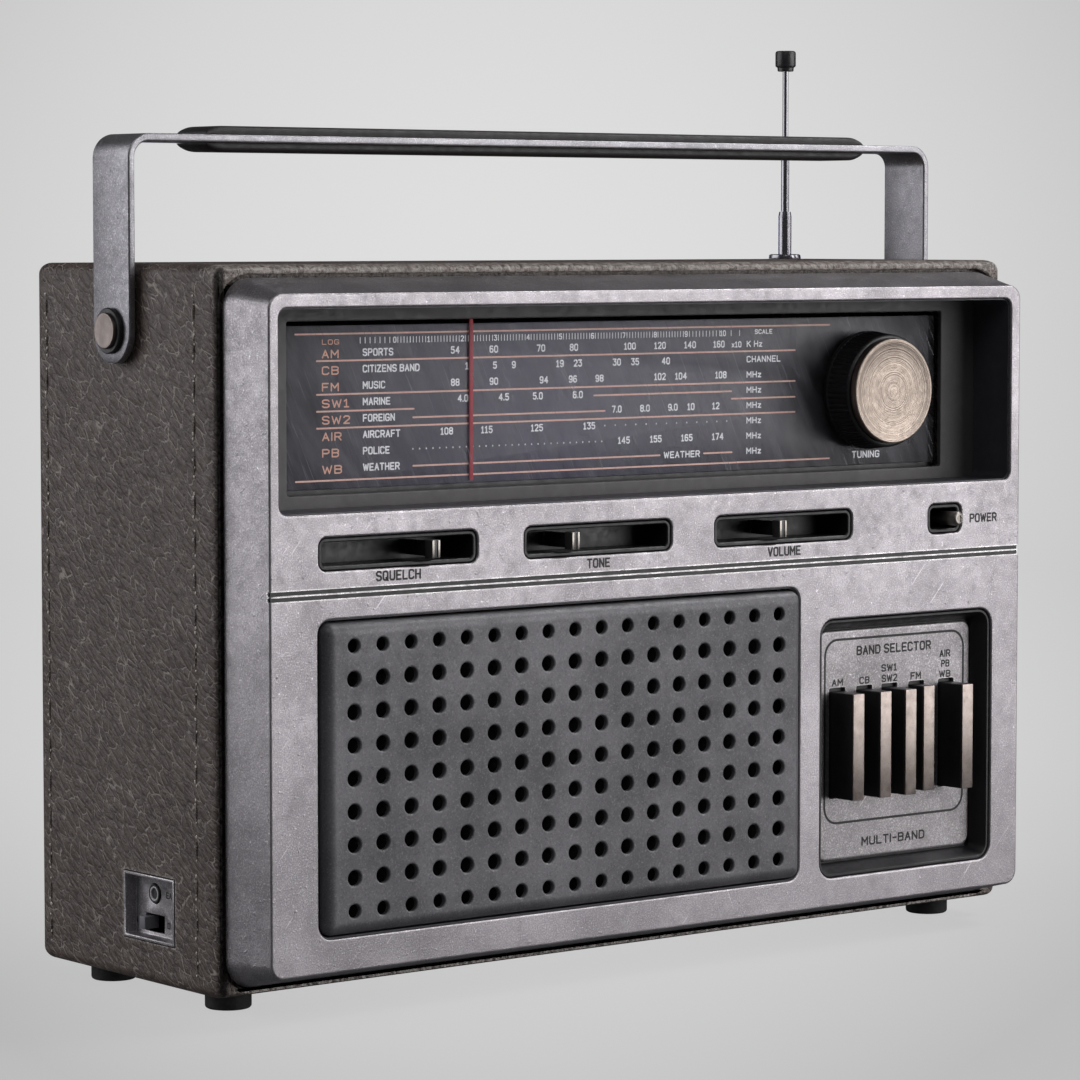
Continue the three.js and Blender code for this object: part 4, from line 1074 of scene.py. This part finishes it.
def control_well():
    """Black insert: a thin raised rim inside each opening and a deep pocket behind it."""
    bm = bmesh.new()
    rim = FACE_Y + 0.55
    floor = FACE_Y + 11.9
    wall = 1.1
    profile = [
        (0, floor + 1), (0, rim + 0.2), (0.2, rim), (wall - 0.3, rim), (wall, rim + 0.3), (wall, floor),
    ]
    for place, outline in [(place, SLOT) for place in SLOT_SPOTS] + [(POWER_SPOT, POWER)]:
        inset = (outline[0] - 0.7, outline[1] - 0.7, outline[2] - 0.35)
        rings = sweep(bm, place, inset, profile)
        cover(bm, rings[-1], rings[0])
    piece("control_pockets", bm, "cabinet", BLACK, ("control_well",))


def sliders():
    """Each lever: a grey block whose front carries two metal bars, on a black shank and a thin stem."""
    deep = FACE_Y + 11.2
    proud, bar, gap, thin, stem = 0.3, 0.78, 0.05, 0.45, 0.8
    for name in SLIDES:
        node = name + "_slider"
        lo, hi = box(node)
        middle = (lo.x + hi.x) / 2
        bm = bmesh.new()
        block(bm, (lo.x, lo.y + proud, lo.z), (hi.x, lo.y + 3.6, hi.z), 0.25, 3)
        block(bm, (middle - stem, deep - 0.2, SLOT_Z - 0.7), (middle + stem, hi.y, SLOT_Z + 0.7), 0.15)
        piece(name + "_lever_block", bm, node, LEVER_GREY, (node,))
        bm = bmesh.new()
        block(bm, (lo.x + thin, lo.y + 3.4, lo.z + thin), (hi.x - thin, deep, hi.z - thin), 0.2, 2)
        piece(name + "_lever_shank", bm, node, SATIN_BLACK)
        bm = bmesh.new()
        for x in (lo.x + gap, hi.x - bar - gap):
            block(bm, (x, lo.y, lo.z + 0.1), (x + bar, lo.y + proud + 0.3, hi.z - 0.1), 0.1, 2)
        piece(name + "_lever_bars", bm, node, TIP_METAL)


def power_lever():
    bm = bmesh.new()
    lean = math.radians(11)
    pivot = Vector((POWER_SPOT[0], FACE_Y + 10, POWER_SPOT[1]))
    tip, radius, edge = 14, 2.2, 0.6
    profile = [(0, -2.4), (1.5, -2), (1.5, 5.5), (radius, 7), (radius, tip - edge)]
    profile += arc((radius - edge, tip - edge), edge, 0, 1, 3, skip=1)
    profile += [(radius * 0.55, tip), (radius * 0.5, tip - 0.35), (0, tip - 0.35)]
    lathe(bm, (0, 0, 0), [(r, -y) for r, y in profile], "y", 40)
    turn = Matrix.Translation(pivot) @ Matrix.Rotation(lean, 4, "Z")
    bmesh.ops.transform(bm, matrix=turn, verts=bm.verts)
    piece("power_lever", bm, "power_toggle", TIP_METAL, ("power_toggle",))


# ---- tuning knob ----

def knob():
    """Black knob whose finely ribbed side tapers forward to a plain rim round the cap."""
    lo, hi = box("tuning_knob")
    radius, depth = (hi.x - lo.x) / 2, hi.y - lo.y
    ribs = 72
    rim = radius - 0.9
    cap_radius = size("tuning_knob_cap").x / 2

    def ribbing(angle, distance):
        if distance < 0.9 or distance > depth - 1.9:
            return 0.0
        return -0.42 * (0.5 - 0.5 * math.cos(ribs * angle)) ** 1.5

    profile = [(0, depth), (radius - 0.3, depth), (radius, depth - 0.3), (radius, depth - 1.7)]
    profile += [(radius - 0.1, depth - 1.85)]
    steps = 6
    for k in range(steps + 1):
        share = k / steps
        taper = share * (radius - 0.15 - rim)
        profile.append((radius - 0.15 - taper, depth - 1.95 - share * (depth - 2.9)))
    profile += [(rim - 0.12, 0.45), (rim - 0.45, 0.1), (rim - 0.9, 0)]
    profile += [(cap_radius + 0.15, 0), (cap_radius + 0.05, 0.3), (0, 0.3)]
    bm = bmesh.new()
    lathe(bm, (KNOB_SPOT[0], lo.y, KNOB_SPOT[1]), profile, "y", ribs * 6, ribbing)
    piece("knob_body", bm, "tuning_knob", BLACK, ("tuning_knob",), smooth=50)
    thick = size("tuning_knob_cap").y
    edge = 0.45
    bm = bmesh.new()
    profile = [(0, thick), (cap_radius, thick), (cap_radius, edge)]
    profile += arc((cap_radius - edge, edge), edge, 0, -1, 5, skip=1)
    profile += [(cap_radius - 1.0, 0.02), (cap_radius - 1.2, 0.14), (cap_radius * 0.5, 0.2), (0, 0.22)]
    lathe(bm, (KNOB_SPOT[0], low("tuning_knob_cap").y, KNOB_SPOT[1]), profile, "y", 96)
    piece("knob_cap", bm, "tuning_knob", KNOB_METAL, ("tuning_knob_cap",))


# ---- speaker grille ----

GRILLE_COLUMNS, GRILLE_ROWS = 17, 9
GRILLE_PITCH = (9.93, 9.37)
GRILLE_SHEET = 1.4
HOLE_SIDES = 28


def grille():
    """Pressed sheet with a pillowed edge and a grid of round holes with soft rims."""
    bm = bmesh.new()
    front = low("speaker_grille").y
    pillow, drop, wall = 3.4, 3.2, 1.2
    profile = rounding(pillow, front, 8, 0.3, depth=drop)
    profile += [(0, PLATE_BACK), (wall, PLATE_BACK), (wall, front + drop)]
    profile += [(pillow + 0.3, front + GRILLE_SHEET)]
    rings = sweep(bm, GRILLE_SPOT, GRILLE, profile)
    across = grid_lines(GRILLE_SPOT[0], GRILLE_PITCH[0], GRILLE_COLUMNS)
    upward = grid_lines(GRILLE_SPOT[1], GRILLE_PITCH[1], GRILLE_ROWS)
    for y, rim in ((front, rings[0]), (front + GRILLE_SHEET, rings[-1])):
        grid = [[bm.verts.new((x, y, z)) for z in upward] for x in across]
        border(bm, rim, grid)
        for i in range(GRILLE_COLUMNS):
            for j in range(GRILLE_ROWS):
                mouth = hole_mouth(bm, i, j, front, y)
                surround(bm, [grid[i + 1][j + 1], grid[i][j + 1], grid[i][j], grid[i + 1][j]], mouth)
    piece("speaker_grille_sheet", bm, "cabinet", GRILLE_LOOK, ("speaker_grille",))


def grid_lines(middle, pitch, count, margin=2.8):
    """Lines between the holes of a grid, and margin outside the middles of its first and last holes."""
    start = middle - count / 2 * pitch
    lines = [start + k * pitch for k in range(count + 1)]
    lines[0] = start + pitch / 2 - margin
    lines[-1] += margin - pitch / 2
    return lines


def border(bm, rim, grid):
    """Flat faces between a rounded rim and the rectangular grid of corners inside it."""
    top, bottom = [column[-1] for column in reversed(grid)], [column[0] for column in grid]
    sides = (top, grid[0][::-1], bottom, grid[-1])
    quarter = len(rim) // 4
    for turn, side in enumerate(sides):
        bend = rim[turn * quarter:(turn + 1) * quarter]
        for first, second in zip(bend, bend[1:]):
            bm.faces.new((side[0], first, second))
        following = rim[(turn + 1) * quarter % len(rim)]
        bm.faces.new((bend[-1], following, *reversed(side)))


def surround(bm, cell, ring):
    """Flat faces between the four corners of a cell, anticlockwise from the top right, and a ring in it."""
    quarter = len(ring) // 4
    for turn, corner in enumerate(cell):
        bend = [ring[(turn * quarter + k) % len(ring)] for k in range(quarter + 1)]
        for first, second in zip(bend, bend[1:]):
            bm.faces.new((corner, first, second))
        bm.faces.new((corner, bend[-1], cell[(turn + 1) % 4]))


def hole_mouth(bm, i, j, front, y):
    """The mouth of one hole at depth y; the front mouth also carries the soft rim and the wall."""
    radius = 1.95 if j in (0, GRILLE_ROWS - 1) else 2.2
    soft = 0.55
    middle = [GRILLE_SPOT[0] + (i + 0.5 - GRILLE_COLUMNS / 2) * GRILLE_PITCH[0],
              GRILLE_SPOT[1] + (j + 0.5 - GRILLE_ROWS / 2) * GRILLE_PITCH[1]]

    def circle(reach, depth):
        return [bm.verts.new((x, depth, z)) for x, z in arc(middle, reach, 0, 4, HOLE_SIDES)[:-1]]

    if y > front:
        return circle(radius, y)
    rings = [circle(radius + offset, depth) for offset, depth in rounding(soft, front, 4, 0.12)]
    join(bm, [*rings, circle(radius, front + GRILLE_SHEET)])
    return rings[0]


def speaker_cloth():
    bm = bmesh.new()
    y = PLATE_BACK - 0.9
    cover(bm, *sweep(bm, GRILLE_SPOT, (GRILLE[0] - 5, GRILLE[1] - 5, 2), [(0, y), (0, y + 0.5)]))
    piece("speaker_cloth_sheet", bm, "cabinet", CLOTH)


# ---- band selector ----

def selector():
    """Black sloped surround with a thin raised lip, and the silver plate inside it."""
    bm = bmesh.new()
    front, back = low("selector_plate").y, high("selector_plate").y
    width, height = size("selector_plate").x, size("selector_plate").z
    rim = FACE_Y + 0.7
    slope = (TRAY[0] - width - 0.6) / 2
    gap = 0.35
    profile = [
        (gap, front + 2.4), (gap, rim + 0.2), (gap + 0.2, rim), (gap + 0.75, rim),
        (gap + 0.95, rim + 0.25), (slope, front), (slope, front + 1.3),
    ]
    rings = sweep(bm, TRAY_SPOT, TRAY, profile)
    cover(bm, rings[-1], rings[0])
    piece("selector_surround", bm, "cabinet", BLACK, ("selector_tray",))
    bm = bmesh.new()
    outer = sweep(bm, spot("selector_plate"), (width, height, 3.5), [*rounding(0.9, front, 5), (0, back)])
    slots = []
    for name in BAND_KEYS:
        key = "band_key_" + name
        slot = (size(key).x + 0.5, size(key).z + 1.5, 0.3)
        place = (centre(key).x, centre(key).z + 0.4)
        slots.append(sweep(bm, place, slot, [*rounding(0.12, front, 2, 0.02), (0, back)], grow=1))
    cover(bm, outer[0], outer[-1], slots)
    piece("selector_plate_sheet", bm, "cabinet", SELECTOR_SILVER, ("selector_plate",))
    bm = bmesh.new()
    line, raised = 0.75, 0.03
    profile = [(0, front), (0, front - raised), (line, front - raised), (line, front)]
    sweep(bm, (centre("selector_plate").x - 0.1, 66.2), (59.8, 57.9, 5.5), profile, ends="looped")
    piece("selector_outline", bm, "cabinet", INK_BLACK)


def band_keys():
    for name in BAND_KEYS:
        body, key = "band_key_" + name, "key_" + name
        refined(body, body, BLACK, 0.2, 3, key + "_body")
        refined("band_key_face_" + name, body, CHAMPAGNE, 0.16, 3, key + "_front")


# ---- side panel ----

def side_panel():
    """Recessed plate with the earphone jack, the side switch and three small marks."""
    refined("jack_panel", "cabinet", SILVER, 0.22, 3, "jack_panel_plate")
    place = (low("earphone_jack").x, centre("earphone_jack").y, centre("earphone_jack").z)
    collar, ring, bore = 2.8, 2.25, 1.6
    bm = bmesh.new()
    profile = [(collar, 8), (collar, 0.25), (collar - 0.2, 0), (ring, 0), (ring, 8)]
    lathe(bm, place, profile, "x", 40, ends="looped")
    piece("jack_collar", bm, "cabinet", BLACK, ("earphone_jack",))
    bm = bmesh.new()
    profile = [(ring - 0.02, 7), (ring - 0.02, 0.3), (ring - 0.2, 0.05)]
    profile += [(bore + 0.15, 0.05), (bore, 0.25), (bore, 7)]
    lathe(bm, place, profile, "x", 40, ends="looped")
    piece("jack_ring", bm, "cabinet", JACK_CHROME)
    bm = bmesh.new()
    cover(bm, *lathe(bm, place, [(bore - 0.01, 6.5), (bore - 0.01, 0.6)], "x", 40))
    piece("jack_bore", bm, "cabinet", BLACK)
    refined("side_switch_knob", "side_switch", MARK_GREY, 0.25, 3, "side_switch_cap")
    sheet = 1.2
    marks = {"EA": (-6.8, 31.5), "A": (10.1, 22.7), "D": (-6.7, 22.8)}
    for words, (y, z) in marks.items():
        sign = Printing(0.0)
        sign.text(words, 0, 0, 2.0, weight=0.24)
        made = sign.done("panel_mark_" + words, INK_BLACK, "silver_paint")
        shift = Matrix.Translation(Vector((high("jack_panel").x - sheet, y, z)) * MM)
        made.data.transform(shift @ Matrix.Rotation(-QUARTER, 4, "Z"))


# ---- handle ----

STRAP_THICKNESS = 2.3


def strap_path():
    """(point, outward normal, half width) along the strap, from the left end to the right end."""
    hi = high("handle_strap")
    half_width = size("handle_strap").y / 2
    bend = 7 - STRAP_THICKNESS / 2
    side, top = hi.x - STRAP_THICKNESS / 2, hi.z - STRAP_THICKNESS / 2
    path = []
    for drop, half in arc((0, 0), half_width, 0, 1, 14, skip=1):
        path.append((Vector((-side, PIVOT.y, PIVOT.z - drop)), Vector((-1, 0, 0)), half))
    path.append((Vector((-side, PIVOT.y, top - bend)), Vector((-1, 0, 0)), half_width))
    for x, z in arc((0, 0), 1, 2, 1, 12, skip=1):
        normal = Vector((x, 0, z))
        path.append((Vector((bend - side, PIVOT.y, top - bend)) + normal * bend, normal, half_width))
    return path + [(Vector((-p.x, p.y, p.z)), Vector((-n.x, 0, n.z)), w) for p, n, w in reversed(path)]


def strap():
    bm = bmesh.new()
    rings = []
    for point, normal, half in strap_path():
        outline = rounded(2 * half, STRAP_THICKNESS, 0.45, 4)
        rings.append([bm.verts.new(point + Vector((0, a, 0)) + normal * b) for a, b in outline])
    join(bm, rings, "closed")
    piece("handle_strap_metal", bm, "handle", STRAP_METAL, ("handle_strap",), smooth=40)


def grip(node, up, name):
    """A long pad with a crowned back, rounded edges and tapering ends, flat on the strap."""
    lo, hi = box(node)
    seat = lo.z if up > 0 else hi.z
    thick, half_y = hi.z - lo.z, (hi.y - lo.y) / 2
    half_x, end = (hi.x - lo.x) / 2, 6
    crown = 0.12
    stations = [(end * (1 - c) - half_x, share) for c, share in arc((0, 0), 1, 0, 1, 12)]
    stations += [(-x, share) for x, share in reversed(stations)]
    bm = bmesh.new()
    rings = []
    for x, share in stations:
        tall = max(thick * share, crown)
        corner = min(1.3, tall * 0.8)
        half = arc((half_y - corner, tall - corner), corner, 0, 1, 6)
        half = [(y, z - crown) for y, z in half[:-1]] + half[-1:]
        ring = [(-half_y + 0.2, 0), (half_y - 0.2, 0), *half, (0, tall)]
        ring += [(-y, z) for y, z in reversed(half)]
        rings.append([bm.verts.new((x, PIVOT.y + y, seat + up * z)) for y, z in ring])
    join(bm, rings, "closed")
    piece(name, bm, "handle", GRIP_BLACK, (node,), smooth=40)


def pivots():
    """At each side: a metal cap on a black boss, whose pin runs in through the case."""
    cap, boss, edge, inner, pin = 5.2, 6.6, 0.3, 2.3, 2.2
    for node, side in (("handle_pivot_left", -1), ("handle_pivot_right", 1)):
        end = high(node).x if side > 0 else low(node).x
        profile = [(0, 1.2), (cap, 1.2), (cap, edge), *arc((cap - edge, edge), edge, 0, -1, 4, skip=1)]
        profile += [(cap - 0.6, 0.0), (0, 0.05)]
        bm = bmesh.new()
        lathe(bm, (end, PIVOT.y, PIVOT.z), [(r, -side * d) for r, d in profile], "x", 56)
        piece(node + "_cap", bm, "cabinet", PIVOT_METAL)
        profile = [(0, 1.1), (boss - edge, 1.1), (boss, 1.1 + edge), (boss, inner)]
        profile += [(pin, inner), (pin, 15), (0, 15)]
        bm = bmesh.new()
        lathe(bm, (end, PIVOT.y, PIVOT.z), [(r, -side * d) for r, d in profile], "x", 56)
        piece(node + "_boss", bm, "cabinet", BLACK, (node,))


# ---- antenna ----

def antenna():
    """Cup on the case, three tubes that slide in one another, and the tip."""
    middle = Vector((centre("antenna_base").x, centre("antenna_base").y, 0))
    cup, bore, shank = size("antenna_base").x / 2, 2.6, 3.9
    base, top = low("antenna_base").z, high("antenna_base").z
    case_top = CASE_HIGH.z
    bm = bmesh.new()
    profile = [(bore, base), (shank, base), (shank, case_top + 0.1), (cup - 0.1, case_top + 0.1)]
    profile += [(cup, case_top + 0.5), (cup - 0.25, top - 0.25), (cup - 0.8, top), (3.4, top)]
    profile += [(2.9, top - 0.4), (bore, top - 0.5)]
    lathe(bm, middle, profile, "z", 48, ends="looped")
    piece("antenna_cup", bm, "cabinet", CHROME, ("antenna_base",))
    for stage, inner in (("lower", 1.5), ("middle", 1.05), ("upper", 0)):
        node = "antenna_tube_" + stage
        lo, hi = box(node)
        radius = (hi.x - lo.x) / 2
        lip = 0.3
        bm = bmesh.new()
        profile = [(inner, lo.z), (radius, lo.z), (radius, hi.z - 3)]
        if inner:
            profile += [(radius, hi.z - 1.6), (radius - lip / 2, hi.z - 0.8)]
            profile += [(radius - lip, hi.z), (inner, hi.z)]
        else:
            profile += [(radius, hi.z), (0, hi.z)]
        lathe(bm, middle, profile, "z", 28, ends="looped" if inner else "open")
        piece("antenna_" + stage + "_tube", bm, "antenna_" + stage, CHROME, (node,))
    radius, tall = size("antenna_tip").x / 2, size("antenna_tip").z
    bm = bmesh.new()
    profile = [(0, 0), (0.72, 0), (0.78, 0.2), (0.8, 1.2), (0.97, 1.6), (1, 2)]
    profile += [(1, tall - 0.8), (0.95, tall - 0.3), (0.82, tall - 0.04), (0, tall)]
    profile = [(share * radius, z) for share, z in profile]
    lathe(bm, middle + Vector((0, 0, low("antenna_tip").z)), profile, "z", 40)
    piece("antenna_tip_cap", bm, "antenna_upper", SATIN_BLACK, ("antenna_tip",))


# ---- back and inside ----

def back():
    refined("rear_cover", "cabinet", REAR_BLACK, 0.5, 3, "rear_cover_panel")
    refined("battery_door", "battery_door", REAR_BLACK, 0.4, 3, "battery_door_panel")


INSIDE_LOOKS = {
    "battery_tray": REAR_BLACK, "squelch_potentiometer": STEEL, "tone_potentiometer": STEEL,
    "volume_potentiometer": STEEL, "power_switch": BLACK, "tuning_capacitor": STEEL, "tuning_drum": BLACK,
    "tuning_shaft": STEEL, "speaker_basket": STEEL, "speaker_cone": CONE, "speaker_magnet": FERRITE,
    "band_switch_bank": STEEL, "main_circuit_board": BOARD, "ferrite_rod_antenna": FERRITE,
}


def inside():
    for node, look in INSIDE_LOOKS.items():
        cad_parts[node].data.materials[0] = look


# ---- stage ----

def backdrop():
    """Pale round floor that curves up into a wall on every side; only the floor near the set takes light."""
    bm = bmesh.new()
    floor, bend, wall = 3000, 2500, 18000
    profile = [(0, 0), (800, 0), (floor, 0), *arc((floor, bend), bend, -1, 0, 24, skip=1)]
    profile += [(floor + bend, wall)]
    lathe(bm, (0, 0, -0.2), profile, "z", 96)
    bmesh.ops.remove_doubles(bm, verts=bm.verts, dist=0.01)
    look = Look("backdrop_paper", roughness=0.95)
    away = look.vector("LENGTH", look.place).node.outputs["Value"]
    look.colour(look.blend(look.span(away, 500, 1500), (0.1, 0.1, 0.1), (0, 0, 0)))
    view = look.tree.nodes.new("ShaderNodeTexCoord").outputs["Window"]
    split = look.tree.nodes.new("ShaderNodeSeparateXYZ")
    look.link(view, split.inputs[0])
    across = look.calc("SUBTRACT", split.outputs["X"], 0.47)
    upward = look.calc("SUBTRACT", split.outputs["Y"], 0.7)
    spread = look.calc("ADD", look.times(across, across), look.times(upward, upward))
    glow = look.span(spread, 0.0, 0.65, 0.735, 0.45)
    look.set(Specular_IOR_Level=0.0, Emission_Color=(1, 1, 1), Emission_Strength=glow)
    made = placed("backdrop", bm)
    smoothed(made.data, look.material, 180)
    made.visible_glossy = False
    made.visible_diffuse = False
    made.visible_shadow = False


def softbox(name, place, width, height, power, colour=(1, 1, 1)):
    """A rectangular light, all in metres, that faces the middle of the set."""
    light = bpy.data.lights.new(name, "AREA")
    light.shape = "RECTANGLE"
    light.size, light.size_y = width, height
    light.energy = power
    light.color = colour
    made = bpy.data.objects.new(name, light)
    made.location = place
    direction = Vector((0, 0, 0.12)) - Vector(place)
    made.rotation_euler = direction.to_track_quat("-Z", "Y").to_euler()
    made.visible_camera = False
    bpy.context.scene.collection.objects.link(made)


def studio():
    world = bpy.data.worlds.new("studio")
    bpy.context.scene.world = world
    world.use_nodes = True
    world.node_tree.nodes["Background"].inputs["Color"].default_value = (0.8, 0.82, 0.86, 1)
    world.node_tree.nodes["Background"].inputs["Strength"].default_value = 0.07
    softbox("front_right", (1.35, -1.5, 0.55), 1.9, 1.5, 26.5, (1.0, 0.99, 0.99))
    softbox("back_left", (-1.7, 1.1, 0.6), 2.2, 1.5, 19, (0.98, 0.98, 1.0))
    softbox("above_right", (1.3, -0.35, 1.6), 0.8, 0.8, 15)
    softbox("front_left", (-1.2, -1.5, 1.9), 1.6, 1.2, 6)
    softbox("rim", (1.25, 1.5, 0.2), 1.4, 0.16, 1.3, (0.62, 0.66, 1.0))
    bpy.context.scene.view_settings.view_transform = "Standard"


def camera():
    """Long lens, from the left of the front and a little above the middle."""
    data = bpy.data.cameras.new("camera")
    data.sensor_width = 36
    data.lens = 140.475
    data.clip_start, data.clip_end = 0.05, 50
    made = bpy.data.objects.new("camera", data)
    yaw, pitch = math.radians(38.381), math.radians(4.177)
    made.location = (-0.8062, -1.0080, 0.2206)
    aim = Vector((math.sin(yaw) * math.cos(pitch), math.cos(yaw) * math.cos(pitch), -math.sin(pitch)))
    made.rotation_euler = aim.to_track_quat("-Z", "Y").to_euler()
    bpy.context.scene.collection.objects.link(made)
    bpy.context.scene.camera = made


# ---- the whole receiver ----

cabinet()
stitching()
feet()
bezel()
dial()
dial_print()
face_print()
control_well()
sliders()
power_lever()
knob()
grille()
speaker_cloth()
selector()
band_keys()
side_panel()
strap()
grip("handle_grip_upper", 1, "grip_pad_upper")
grip("handle_grip_lower", -1, "grip_pad_lower")
pivots()
antenna()
back()
inside()
backdrop()
studio()
camera()
